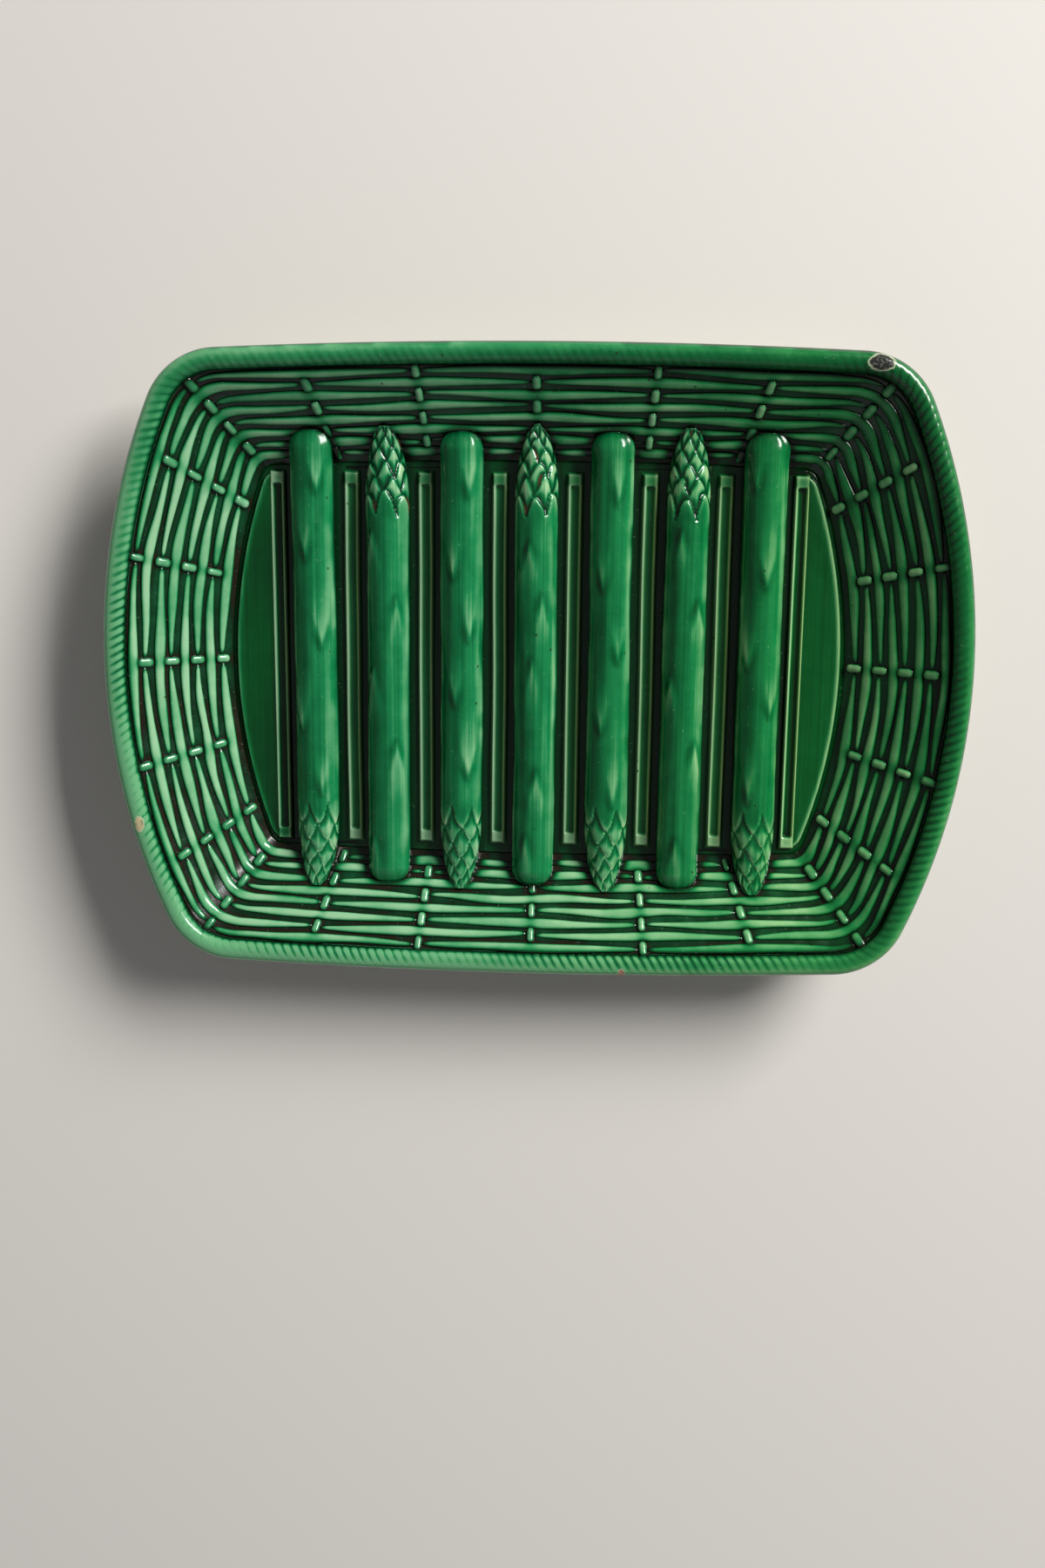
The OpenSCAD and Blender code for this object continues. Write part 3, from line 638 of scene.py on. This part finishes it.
def bracts(lift, pool_and_shade, crest, side, y, rnd, stem_end, up):
    """The long flat scales that lie up the stem."""
    spots = np.linspace(BUTT_Y + 28, stem_end - 3, 5) + rnd.uniform(-9, 9, 5)
    turn = rnd.choice([-1, 1])
    for k, top in enumerate(spots):
        where = turn * (1 if k % 2 else -1) * rnd.uniform(0.10, 0.70)
        length, half = rnd.uniform(18, 30), rnd.uniform(3.2, 4.4)
        t = y - top
        off = (side - where) * SPEAR_W / 2
        wide = half * np.clip(-t / 12.0, 0, 1) ** 0.8
        e = np.where(t < 0, np.abs(off) - wide, np.hypot(off, t))       # negative inside the bract
        fade = np.clip(1 + t / length, 0, 1)
        body = smoothstep(1.1, -1.7, e) * np.where(t < 1, fade, 0)
        lift = lift + 0.8 * body ** 1.2
        # a painted shadow round each bract's apex, heavier on its left side
        near = smoothstep(-9.0, -1.5, t) * smoothstep(5.0, 1.0, t)
        shaded = 0.35 + 0.65 * smoothstep(-1.2, 1.6, off * up)
        pool_and_shade = np.maximum(pool_and_shade, 0.45 * bell(e - 0.7, 1.5) * near * shaded)
        crest = np.maximum(crest, 0.68 * body ** 1.4 * smoothstep(0.2, -2.4, e))
    return lift, pool_and_shade, crest


def spear(number):
    """One spear: a half-round stem laid over floor and wall, built with its head towards +y."""
    x0 = (number - 4) * PITCH
    up = 1 if number % 2 == 0 else -1           # -1 turns it round, head towards -y
    rnd = np.random.default_rng(300 + number)
    na = 55
    length = TIP_Y - BUTT_Y
    head_y = TIP_Y - HEAD_L
    stem = length - HEAD_L - 11
    s = np.concatenate([np.linspace(0, 1, 24) ** 1.6 * BUTT_R, np.linspace(BUTT_R, stem, 250)[1:],
                        np.linspace(stem, length, 200)[1:]])
    ns = len(s)
    s, ang = np.meshgrid(s, np.linspace(0, math.pi, na), indexing="ij")
    y = BUTT_Y + s
    side = ang - math.pi / 2
    # outline along the spear: a rounded butt, then the taper of the head
    butt = (1 - (1 - np.clip(s / BUTT_R, 0.03, 1)) ** 2.1) ** (1 / 2.1)
    on_head = np.clip((y - head_y) / HEAD_L, 0, 1)
    head = np.sqrt(1 - (0.975 * on_head) ** 2.5)
    wide = (0.25 + 0.75 * butt) * head * (1 + 0.02 * ripple(s, 55, 310 + number))
    tall = (0.2 + 0.8 * butt) * (1 - 0.55 * (1 - head))
    low = under(x0, y)
    crown = FLOOR_Z + SPEAR_H - 0.30
    lift, pool_and_shade, crest, bare = scales(y - head_y, side, number, rnd)
    lift, pool_and_shade, crest = bracts(lift, pool_and_shade, crest, side, y, rnd, head_y - 4, up)
    lift, pool_and_shade, crest = soften(lift, 5, 1), soften(pool_and_shade, 3, 1), soften(crest, 2, 0)
    # shallow flutes and dents of the stem, and a pale band along its right shoulder, partly thin
    # glaze and partly painted light, with painted light over the whole right side
    on_stem = smoothstep(head_y + 2, head_y - 6, y)
    lift = lift + 0.13 * waves(side * 9, y * 0.08, 6, 330 + number) * on_stem
    lift = lift + 0.10 * waves(side * 8, y, 16, 340 + number) * on_stem
    shoulder = bell(-side * up - 0.28 - 0.12 * ripple(y, 70, 345 + number), 0.42)
    crest = crest + (0.26 * shoulder + 0.08 * smoothstep(-0.1, 1.0, -side * up)) * on_stem
    # the glaze is thick down both flanks, with painted shade where they meet what lies below, and
    # painted shade over the whole left side
    pool_and_shade = np.maximum(pool_and_shade, 0.5 * smoothstep(0.85, 1.4, np.abs(side)))
    pool_and_shade = np.maximum(pool_and_shade, 0.13 * smoothstep(0.15, 1.0, side * up) * on_stem)
    lift = lift * np.clip(np.sin(ang) * 1.6, 0, 1) ** 0.5
    half_w = SPEAR_W / 2 * wide
    rise = (crown - low) * tall
    ca, sa = np.cos(ang), np.sin(ang)
    x = half_w * ca + lift * ca
    z = np.minimum(low + rise * (0.36 + 0.64 * sa) + lift * sa * 0.9, FLOOR_Z + SPEAR_H + 0.12)

    def seam(edge_x, edge_z):
        return np.stack([edge_x, y[:, 0], edge_z], -1)[:, None]

    waist_z, foot_z = low[:, 0] + rise[:, 0] * 0.16, low[:, 0] - SINK
    right, left = half_w[:, 0], -half_w[:, -1]
    ring = np.concatenate([seam(right * 0.93, foot_z), seam(right * 0.975, waist_z),
                           np.stack([x, y, z], -1),
                           seam(left * 0.975, waist_z), seam(left * 0.93, foot_z)], 1)
    ring[..., 0] *= up
    ring[..., 1] *= up
    ring[..., 0] += x0 + 0.25 * ripple(ring[..., 1], 170, 350 + number)
    n = ring.shape[1]

    def wrap(a, v=0.0):
        """The field a with the value v on the two seams at each side."""
        e = np.full((ns, 2), v)
        return np.concatenate([e, a, e], 1)

    add("spear_glazed_%d" % number, ring, grid_faces(ns, n, loop_v=True),
        end_caps(ns, n), nodes=("spear_%d" % number,), slot="spear_glaze", mat="spear",
        attrs=dict(pool_and_shade=wrap(pool_and_shade, 0.5), crest=wrap(crest), rust=wrap(bare)))


floor_piece()
wall_piece()
shell_piece()
foot_piece()
rope_piece()
weaver_rows()
knots()
bars()
panels()
for number in range(1, 8):
    spear(number)

# -------------------------------- height map for pooled glaze and painted shade in hollows
CELL = 0.5
X0, Y0, NX, NY = -174.0, -130.0, 697, 521
BEYOND_Z = 33.0
OUTER = ("back", "foot")            # materials seen from outside and below, not in the map


def height_map():
    """The highest point of the dish's inside in each cell of a grid."""
    height = np.full((NX, NY), -1.0)
    for part in PARTS:
        if part["mat"] in OUTER:
            continue
        v, q = part["verts"], part["quads"]
        a, b, c, d = v[q[:, 0]], v[q[:, 1]], v[q[:, 2]], v[q[:, 3]]
        middle = (a + b + c + d) / 4
        cloud = np.concatenate([v, (a + b) / 2, (b + c) / 2, middle, (a + middle) / 2,
                                (b + middle) / 2, (c + middle) / 2, (d + middle) / 2])
        i = np.clip(np.round((cloud[:, 0] - X0) / CELL).astype(int), 0, NX - 1)
        j = np.clip(np.round((cloud[:, 1] - Y0) / CELL).astype(int), 0, NY - 1)
        np.maximum.at(height, (i, j), cloud[:, 2])
    for _ in range(4):
        empty = height < 0
        near = np.maximum.reduce([np.roll(height, 1, 0), np.roll(height, -1, 0),
                                  np.roll(height, 1, 1), np.roll(height, -1, 1)])
        height[empty] = near[empty]
    height[height < 0] = BEYOND_Z
    return height


def blurred(img, sigma):
    fx = np.fft.fftfreq(NX, CELL)[:, None]
    fy = np.fft.rfftfreq(NY, CELL)[None, :]
    g = np.exp(-2 * (math.pi * sigma) ** 2 * (fx ** 2 + fy ** 2))
    return np.fft.irfft2(np.fft.rfft2(img) * g, s=(NX, NY))


def sample(img, x, y):
    fx = np.clip((x - X0) / CELL, 0, NX - 2)
    fy = np.clip((y - Y0) / CELL, 0, NY - 2)
    i, j = fx.astype(int), fy.astype(int)
    a, b = fx - i, fy - j
    return (img[i, j] * (1 - a) * (1 - b) + img[i + 1, j] * a * (1 - b)
            + img[i, j + 1] * (1 - a) * b + img[i + 1, j + 1] * a * b)


# A point's depth under each blurred surface says how the glaze pools on it and how much painted
# shade it gets
HEIGHT = height_map()
BLURS = dict(fine=blurred(HEIGHT, 1.0), broad=blurred(HEIGHT, 2.4), wide=blurred(HEIGHT, 7.0))


# -------------------------------- materials
class Nodes:
    """Short-hand for a node material."""

    def __init__(self, name):
        self.mat = bpy.data.materials.new(name)
        self.mat.use_nodes = True
        self.tree = self.mat.node_tree
        self.tree.nodes.clear()
        self.bsdf = self.node("BsdfPrincipled")
        self.node("OutputMaterial", {0: self.bsdf.outputs[0]})
        self.coord = self.node("TexCoord").outputs["Object"]

    def node(self, kind, inputs=None, **settings):
        """A new node. Each of its inputs is linked if the value is a socket, or else set."""
        n = self.tree.nodes.new("ShaderNode" + kind)
        for key, value in settings.items():
            setattr(n, key, value)
        for key, value in (inputs or {}).items():
            self.put(n.inputs[key], value)
        return n

    def put(self, socket, value):
        if isinstance(value, bpy.types.NodeSocket):
            self.tree.links.new(value, socket)
        elif value is not None:
            socket.default_value = value

    def surface(self, **inputs):
        """Inputs of the surface shader, by name with _ for a space."""
        for name, value in inputs.items():
            self.put(self.bsdf.inputs[name.replace("_", " ")], value)

    def xyz(self):
        return self.node("SeparateXYZ", {0: self.coord}).outputs

    def attr(self, name):
        return self.node("Attribute", attribute_name=name).outputs["Fac"]

    def math(self, op, a, b, c=None):
        return self.node("Math", {0: a, 1: b, 2: c}, operation=op).outputs[0]

    def vector_math(self, op, a, b=None):
        return self.node("VectorMath", {0: a, 1: b}, operation=op).outputs

    def add(self, a, b):
        return self.math("ADD", a, b)

    def times(self, a, b):
        return self.math("MULTIPLY", a, b)

    def swing(self, noise, amount):
        """Noise about zero instead of about a half."""
        return self.times(self.math("SUBTRACT", noise, 0.5), amount)

    def ramp(self, x, lo, hi, a=0.0, b=1.0):
        """A smooth step from a to b while x goes from lo to hi."""
        return self.node("MapRange", {0: x, 1: lo, 2: hi, 3: a, 4: b},
                         interpolation_type="SMOOTHSTEP").outputs[0]

    def scaled(self, *scale):
        return self.node("Mapping", {0: self.coord, "Scale": scale}).outputs[0]

    def noise(self, scale, detail=3.0, rough=0.55, vec=None, distort=0.0):
        return self.node("TexNoise", {"Vector": vec or self.coord, "Scale": scale, "Detail": detail,
                                      "Roughness": rough, "Distortion": distort}).outputs["Fac"]

    def spots(self, scale, radius, keep):
        """Round specks: 1 inside, scattered with the given share kept."""
        n = self.node("TexVoronoi", {"Vector": self.coord, "Scale": scale})
        sep = self.node("SeparateColor", {0: n.outputs["Color"]})
        hit = self.ramp(n.outputs["Distance"], radius, radius * 0.55)
        return self.times(hit, self.math("LESS_THAN", sep.outputs[0], keep))

    def mix(self, fac, a, b, blend="MIX"):
        return self.node("Mix", {0: fac, 6: a, 7: b}, data_type="RGBA", blend_type=blend).outputs[2]

    def bump(self, height, strength, distance, normal=None):
        return self.node("Bump", {"Height": height, "Strength": strength, "Distance": distance,
                                  "Normal": normal}).outputs[0]


def rgb(r, g, b):
    """A colour given as it looks on screen, 0 to 255, in the linear values that nodes take."""
    def lin(c):
        c /= 255.0
        return c / 12.92 if c <= 0.04045 else ((c + 0.055) / 1.055) ** 2.4
    return (lin(r), lin(g), lin(b), 1.0)


CAV_TO_RAMP = 0.3125        # cavity values of -1.6 to 1.6 fill the colour ramp
SHADE_TILT_X, SHADE_TILT_Y = 4.8, 5.2   # per metre: a painted shade gradient, darker to the right and the far side
WARM_LIGHT = rgb(236, 245, 205)   # painted warm light, stronger towards the right
SPECK = rgb(30, 28, 20)
FLECK = rgb(150, 200, 150)
OLIVE = (150, 168, 100)


def glaze(name, stops, spread=0.4, cloudy=0.5, pool_and_shade=1.0, crest=0.6, fine=1.0, broad=0.5, wide=0.0,
          shade_drift=0.16, streak=None, rust=0.0, rusty=OLIVE, flecks=0.2):
    """Glass-clear glaze, pale where it runs thin on ridges and dark where it is thick in hollows,
    where painted shade darkens it too.

    stops gives colours (cavity value, r, g, b). The cavity value is positive in hollows. The other
    numbers say how much of each thing goes into it: clouds, fine mottling (spread), the attribute
    of pooled glaze with painted shade, the crest attribute, the depth under each blurred surface, a
    painted shade gradient over the plate, and streaks.
    """
    m = Nodes(name)
    cav = m.math("MULTIPLY_ADD", m.attr("broad"), broad, m.times(m.attr("fine"), fine))
    x, y, _ = m.xyz()
    # painted shade drifting over the plate: darker or paler towards the right and the far side
    slope = m.math("MULTIPLY_ADD", x, SHADE_TILT_X, m.times(y, SHADE_TILT_Y))
    cav = m.math("MULTIPLY_ADD", slope, shade_drift, cav)
    if wide:
        cav = m.add(cav, m.times(m.attr("wide"), wide))
    cloud = m.noise(24.0, 4.0)
    mottle = m.noise(170.0, 4.0, 0.62)
    fleck = m.noise(750.0, 3.0, 0.6)
    cav = m.math("SUBTRACT", cav, m.swing(cloud, cloudy))
    cav = m.math("SUBTRACT", cav, m.swing(mottle, spread))
    if pool_and_shade:
        cav = m.add(cav, m.times(m.attr("pool_and_shade"), pool_and_shade))
    if crest:
        cav = m.math("SUBTRACT", cav, m.times(m.attr("crest"), crest))
    if streak is not None:
        cav = m.math("SUBTRACT", cav, streak(m))
    ramp = m.node("ValToRGB", {0: m.math("MULTIPLY_ADD", cav, CAV_TO_RAMP, 0.5)})
    marks = ramp.color_ramp.elements
    while len(marks) < len(stops):
        marks.new(0.5)
    for mark, (at, *colour) in zip(marks, stops):
        mark.position = min(1.0, max(0.0, at * CAV_TO_RAMP + 0.5))
        mark.color = rgb(*colour)
    col = ramp.outputs[0]
    if rust:
        col = m.mix(m.times(m.attr("rust"), rust), col, rgb(*rusty))
    # painted warm light, tinting the glaze more and more towards the right
    warm_lit = m.ramp(m.add(x, m.times(cloud, 0.06)), -0.03, 0.20, 0.0, 0.9)
    col = m.mix(warm_lit, col, WARM_LIGHT, "MULTIPLY")
    col = m.mix(m.times(m.spots(170.0, 0.12, 0.16), 0.75), col, SPECK)
    col = m.mix(m.ramp(fleck, 0.64, 0.76, 0.0, flecks), col, FLECK, "SCREEN")
    m.surface(Base_Color=col, Roughness=m.ramp(mottle, 0.3, 0.75, 0.14, 0.28), IOR=1.45,
              Coat_Weight=0.25, Coat_Roughness=0.05)
    dimples = m.bump(m.noise(85.0, 2.0), 0.3, 0.0006)
    m.surface(Normal=m.bump(fleck, 0.10, 0.0003, dimples))
    return m


def lengthwise(m):
    """Streaks along y, stronger on crests."""
    fine = m.noise(1.0, 3.0, 0.65, m.scaled(900.0, 6.0, 60.0))
    coarse = m.noise(1.0, 2.0, 0.5, m.scaled(230.0, 14.0, 30.0))
    a = m.swing(fine, 1.3)
    a = m.math("MULTIPLY_ADD", m.math("SUBTRACT", coarse, 0.5), 0.7, a)
    return m.times(a, m.math("MULTIPLY_ADD", m.attr("crest"), 0.9, 0.45))


# Places on the rope where the glaze is knocked off: x, y, half sizes in x and y, colour
CHIPS = [(126.2, 115.2, 4.2, 2.7, rgb(20, 22, 17)),
         (-155.6, -63.4, 1.7, 2.7, rgb(196, 182, 140)),
         (36.7, -120.3, 1.3, 1.6, rgb(196, 150, 124))]
CHIP_RIM, CHIP_GRIT = rgb(196, 202, 170), rgb(150, 152, 138)


def chips(m):
    """Each chip gets a gritty matt body with a ragged outline and a pale rim."""
    col = m.bsdf.inputs["Base Color"].links[0].from_socket
    rough = m.bsdf.inputs["Roughness"].links[0].from_socket
    ragged = m.noise(420.0, 3.0, 0.6)
    grit = m.ramp(m.noise(1500.0, 2.0), 0.55, 0.63, 0.0, 0.45)
    for x, y, half_x, half_y, colour in CHIPS:
        away = m.vector_math("SUBTRACT", m.coord, (x * MM, y * MM, 0))[0]
        away = m.vector_math("MULTIPLY", away, (1000 / half_x, 1000 / half_y, 0))[0]
        size = m.vector_math("LENGTH", away)["Value"]
        reach = m.add(size, m.times(ragged, 0.7))
        inside = m.ramp(reach, 1.45, 1.3)
        col = m.mix(m.ramp(reach, 1.62, 1.5, 0.0, 0.7), col, CHIP_RIM)
        dark = [c * 0.45 for c in colour[:3]] + [1.0]
        body = m.mix(grit, m.mix(m.ramp(ragged, 0.45, 0.6), colour, dark), CHIP_GRIT)
        col = m.mix(inside, col, body)
        rough = m.math("MAXIMUM", rough, m.times(inside, 0.8))
    m.surface(Base_Color=col, Roughness=rough)


# The dark stops at high cavity values are partly pooled glaze and partly painted shade in gaps and
# hollows
GLAZES = dict(
    dish=dict(name="floor_glaze", broad=0.25, wide=0.06,
              stops=[(-1.0, 14, 110, 64), (-0.2, 2, 84, 42), (0.5, 2, 74, 34), (1.2, 2, 66, 28),
                     (1.7, 3, 50, 22)]),
    wall=dict(name="wall_glaze", cloudy=0.8, spread=0.5, fine=0.35, broad=0.9, shade_drift=-0.2,
              stops=[(0.75, 8, 82, 45), (1.1, 6, 54, 27), (1.4, 7, 36, 16), (1.75, 29, 25, 12)]),
    weave=dict(name="weaver_glaze", pool_and_shade=0, crest=0, spread=0.26, shade_drift=0.15, fine=0.88,
               broad=0.55,
               stops=[(-0.62, 148, 198, 154), (-0.38, 102, 172, 122), (-0.14, 34, 138, 82),
                      (0.12, 4, 98, 50), (0.5, 2, 62, 28), (1.0, 8, 30, 14)]),
    knot=dict(name="knot_glaze", pool_and_shade=0, crest=0, cloudy=0.4, spread=0.3, shade_drift=-0.12,
              stops=[(-1.0, 164, 206, 170), (-0.62, 122, 184, 138), (-0.25, 54, 142, 90),
                     (0.3, 4, 84, 46), (0.9, 22, 30, 16)]),
    rope=dict(name="rope_glaze", broad=0.3, pool_and_shade=0.5, crest=0.36, cloudy=0.45, spread=0.25,
              shade_drift=0.36,
              stops=[(-0.72, 104, 172, 122), (-0.46, 46, 138, 84), (-0.14, 12, 100, 56),
                     (0.35, 2, 66, 36), (1.0, 12, 28, 15)]),
    spear=dict(name="spear_glaze", rust=0.9, rusty=(84, 54, 34), streak=lengthwise, spread=0.25,
               crest=0.95, broad=0.3, fine=0.5, shade_drift=0.05,
               stops=[(-1.4, 164, 204, 156), (-0.9, 104, 172, 122), (-0.46, 24, 130, 76),
                      (-0.06, 0, 97, 52), (0.4, 2, 62, 32), (0.85, 4, 30, 15), (1.5, 14, 18, 10)]),
    bar=dict(name="bar_glaze", pool_and_shade=0.4, crest=1.5, rust=0.8, cloudy=0.4, spread=0.3, shade_drift=0.05,
             fine=0.55, broad=0.3,
             stops=[(-1.6, 158, 200, 158), (-1.0, 112, 168, 122), (-0.5, 46, 128, 74),
                    (0.1, 14, 100, 52), (0.7, 12, 86, 44), (1.5, 14, 60, 30)]),
    panel=dict(name="panel_glaze", pool_and_shade=0.1, crest=1.25, rust=0.8, spread=0.15, cloudy=0.6,
               broad=0.6, shade_drift=-0.22, flecks=0.0, streak=lengthwise,
               stops=[(-1.6, 158, 200, 158), (-1.0, 84, 156, 108), (-0.5, 8, 106, 56),
                      (0.0, 0, 77, 31), (0.5, 2, 48, 20), (1.3, 4, 22, 9)]))


def back_material():
    """Cream glaze with green clouds, which turns green below the rim."""
    m = Nodes("back_glaze")
    cloud = m.noise(16.0, 5.0, 0.6, distort=0.4)
    mottle = m.noise(120.0, 4.0)
    up = m.ramp(m.add(m.xyz()[2], m.times(cloud, 0.016)), 0.026, 0.042)
    cream = m.mix(m.ramp(mottle, 0.3, 0.7), rgb(214, 206, 176), rgb(196, 190, 154))
    cream = m.mix(m.ramp(cloud, 0.52, 0.66, 0.0, 0.75), cream, rgb(128, 168, 122))
    col = m.mix(up, cream, m.mix(m.ramp(cloud, 0.4, 0.6), rgb(24, 118, 74), rgb(8, 86, 54)))
    col = m.mix(m.times(m.spots(140.0, 0.12, 0.25), 0.7), col, rgb(70, 60, 40))
    m.surface(Base_Color=col, Roughness=m.ramp(mottle, 0.3, 0.7, 0.16, 0.32), IOR=1.55,
              Coat_Weight=0.4, Coat_Roughness=0.1, Normal=m.bump(cloud, 0.3, 0.001))
    return m


def foot_material():
    """Glaze down the sides of the foot ring and bare clay on its tread."""
    m = Nodes("foot_clay")
    grain = m.noise(900.0, 4.0, 0.65)
    cloud = m.noise(40.0, 3.0)
    bare = m.ramp(m.add(m.xyz()[2], m.times(cloud, 0.0012)), 0.0022, 0.0008)
    clay = m.mix(m.ramp(cloud, 0.35, 0.65), rgb(206, 190, 152), rgb(184, 164, 124))
    clay = m.mix(m.ramp(grain, 0.5, 0.75, 0.0, 0.5), clay, rgb(120, 100, 72))
    m.surface(Base_Color=m.mix(bare, rgb(190, 188, 148), clay),
              Roughness=m.math("MULTIPLY_ADD", bare, 0.55, 0.25), Normal=m.bump(grain, 0.4, 0.0004))
    return m


mats = {key: glaze(**look) for key, look in GLAZES.items()}
chips(mats["rope"])
mats["back"] = back_material()
mats["foot"] = foot_material()


# -------------------------------- objects
def mesh_of(part):
    """The part's mesh in metres, faces turned outwards, with its attributes."""
    v, quads, ngons = part["verts"], part["quads"], part["ngons"]
    mesh = bpy.data.meshes.new(part["name"])
    if volume(v, quads, ngons) < 0:
        quads, ngons = quads[:, ::-1], turned(ngons)
    loops = np.concatenate([quads.ravel()] + [np.array(f) for f in ngons]).astype(np.int32)
    sizes = [4] * len(quads) + [len(f) for f in ngons]
    mesh.vertices.add(len(v))
    mesh.vertices.foreach_set("co", (v * MM).astype(np.float32).ravel())
    mesh.loops.add(len(loops))
    mesh.loops.foreach_set("vertex_index", loops)
    mesh.polygons.add(len(sizes))
    mesh.polygons.foreach_set("loop_start", np.r_[0, np.cumsum(sizes)[:-1]].astype(np.int32))
    mesh.update(calc_edges=True)
    mesh.validate()
    mesh.polygons.foreach_set("use_smooth", np.ones(len(mesh.polygons), dtype=bool))
    values = dict(part["attrs"])
    # depth under the blurred surfaces: pooled glaze and painted shade in hollows
    if part["mat"] not in OUTER:
        for key, img in BLURS.items():
            values[key] = sample(img, v[:, 0], v[:, 1]) - v[:, 2]
    for key, val in values.items():
        val = np.asarray(val, float).ravel()
        val = np.concatenate([val, np.zeros(len(v) - len(val))])
        a = mesh.attributes.new(key, "FLOAT", "POINT")
        a.data.foreach_set("value", val.astype(np.float32))
    mesh.materials.append(mats[part["mat"]].mat)
    return mesh


scene = bpy.context.scene
for part in PARTS:
    obj = bpy.data.objects.new(part["name"], mesh_of(part))
    scene.collection.objects.link(obj)
    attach(obj, "root")
    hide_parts(*part["nodes"])

# -------------------------------- stage, light and camera
FLOOR_COLOUR, WORLD_COLOUR, WORLD_LIGHT = (0.80, 0.77, 0.73, 1), (0.97, 0.98, 1.0, 1), 0.12
STAGE_HALF = 3                              # metres
LAMP_AIM = (0, 0, 0.02)
CAMERA_LENS, CAMERA_SENSOR = 34.0, 36.0
CAMERA_TURN = (0.201, -0.051, -0.015)       # rotation vector in radians, fitted to the photograph
CAMERA_PLACE = (24.98, 71.27, 604.1)

floor_mat = bpy.data.materials.new("stage_white")
floor_mat.use_nodes = True
shader = floor_mat.node_tree.nodes["Principled BSDF"]
shader.inputs["Base Color"].default_value = FLOOR_COLOUR
shader.inputs["Roughness"].default_value = 0.9
mesh = bpy.data.meshes.new("stage_floor")
mesh.from_pydata([(x * STAGE_HALF, y * STAGE_HALF, 0)
                  for x, y in ((-1, -1), (1, -1), (1, 1), (-1, 1))], [], [(0, 1, 2, 3)])
mesh.materials.append(floor_mat)
stage = bpy.data.objects.new("stage_floor", mesh)
scene.collection.objects.link(stage)

world = bpy.data.worlds.new("studio")
scene.world = world
world.use_nodes = True
background = world.node_tree.nodes["Background"]
background.inputs[0].default_value = WORLD_COLOUR
background.inputs[1].default_value = WORLD_LIGHT


def stand(obj, axes, place):
    """Put obj at place, with its own axes along the columns of axes."""
    obj.matrix_world = mathutils.Matrix([[*axes[i], place[i]] for i in range(3)] + [[0, 0, 0, 1]])


def lamp(name, place, size, size_y, power, colour):
    """A rectangular lamp at place in metres, aimed at the middle of the plate."""
    data = bpy.data.lights.new(name, "AREA")
    data.shape = "RECTANGLE"
    data.size, data.size_y = size, size_y
    data.energy = power
    data.color = colour
    obj = bpy.data.objects.new(name, data)
    scene.collection.objects.link(obj)
    z = unit(np.array(place) - np.array(LAMP_AIM))
    x = unit(np.cross(np.array([0, 1.0, 0.02]), z))
    stand(obj, np.stack([x, np.cross(z, x), z], 1), place)


lamp("window", (1.7, 1.56, 1.48), 0.9, 1.5, 108.0, (1.0, 0.985, 0.96))
lamp("fill", (-0.5, -1.2, 1.1), 1.8, 1.4, 1.5, (0.95, 0.97, 1.0))

camera = bpy.data.cameras.new("camera")
camera.lens = CAMERA_LENS
camera.sensor_width = CAMERA_SENSOR
cam = bpy.data.objects.new("camera", camera)
scene.collection.objects.link(cam)
angle = np.linalg.norm(CAMERA_TURN)
k = np.array(CAMERA_TURN) / angle
K = np.array([[0, -k[2], k[1]], [k[2], 0, -k[0]], [-k[1], k[0], 0]])
turn = np.eye(3) + math.sin(angle) * K + (1 - math.cos(angle)) * K @ K
stand(cam, turn.T, np.array(CAMERA_PLACE) * MM)
scene.camera = cam
scene.view_settings.view_transform = "Standard"

bpy.context.view_layer.update()
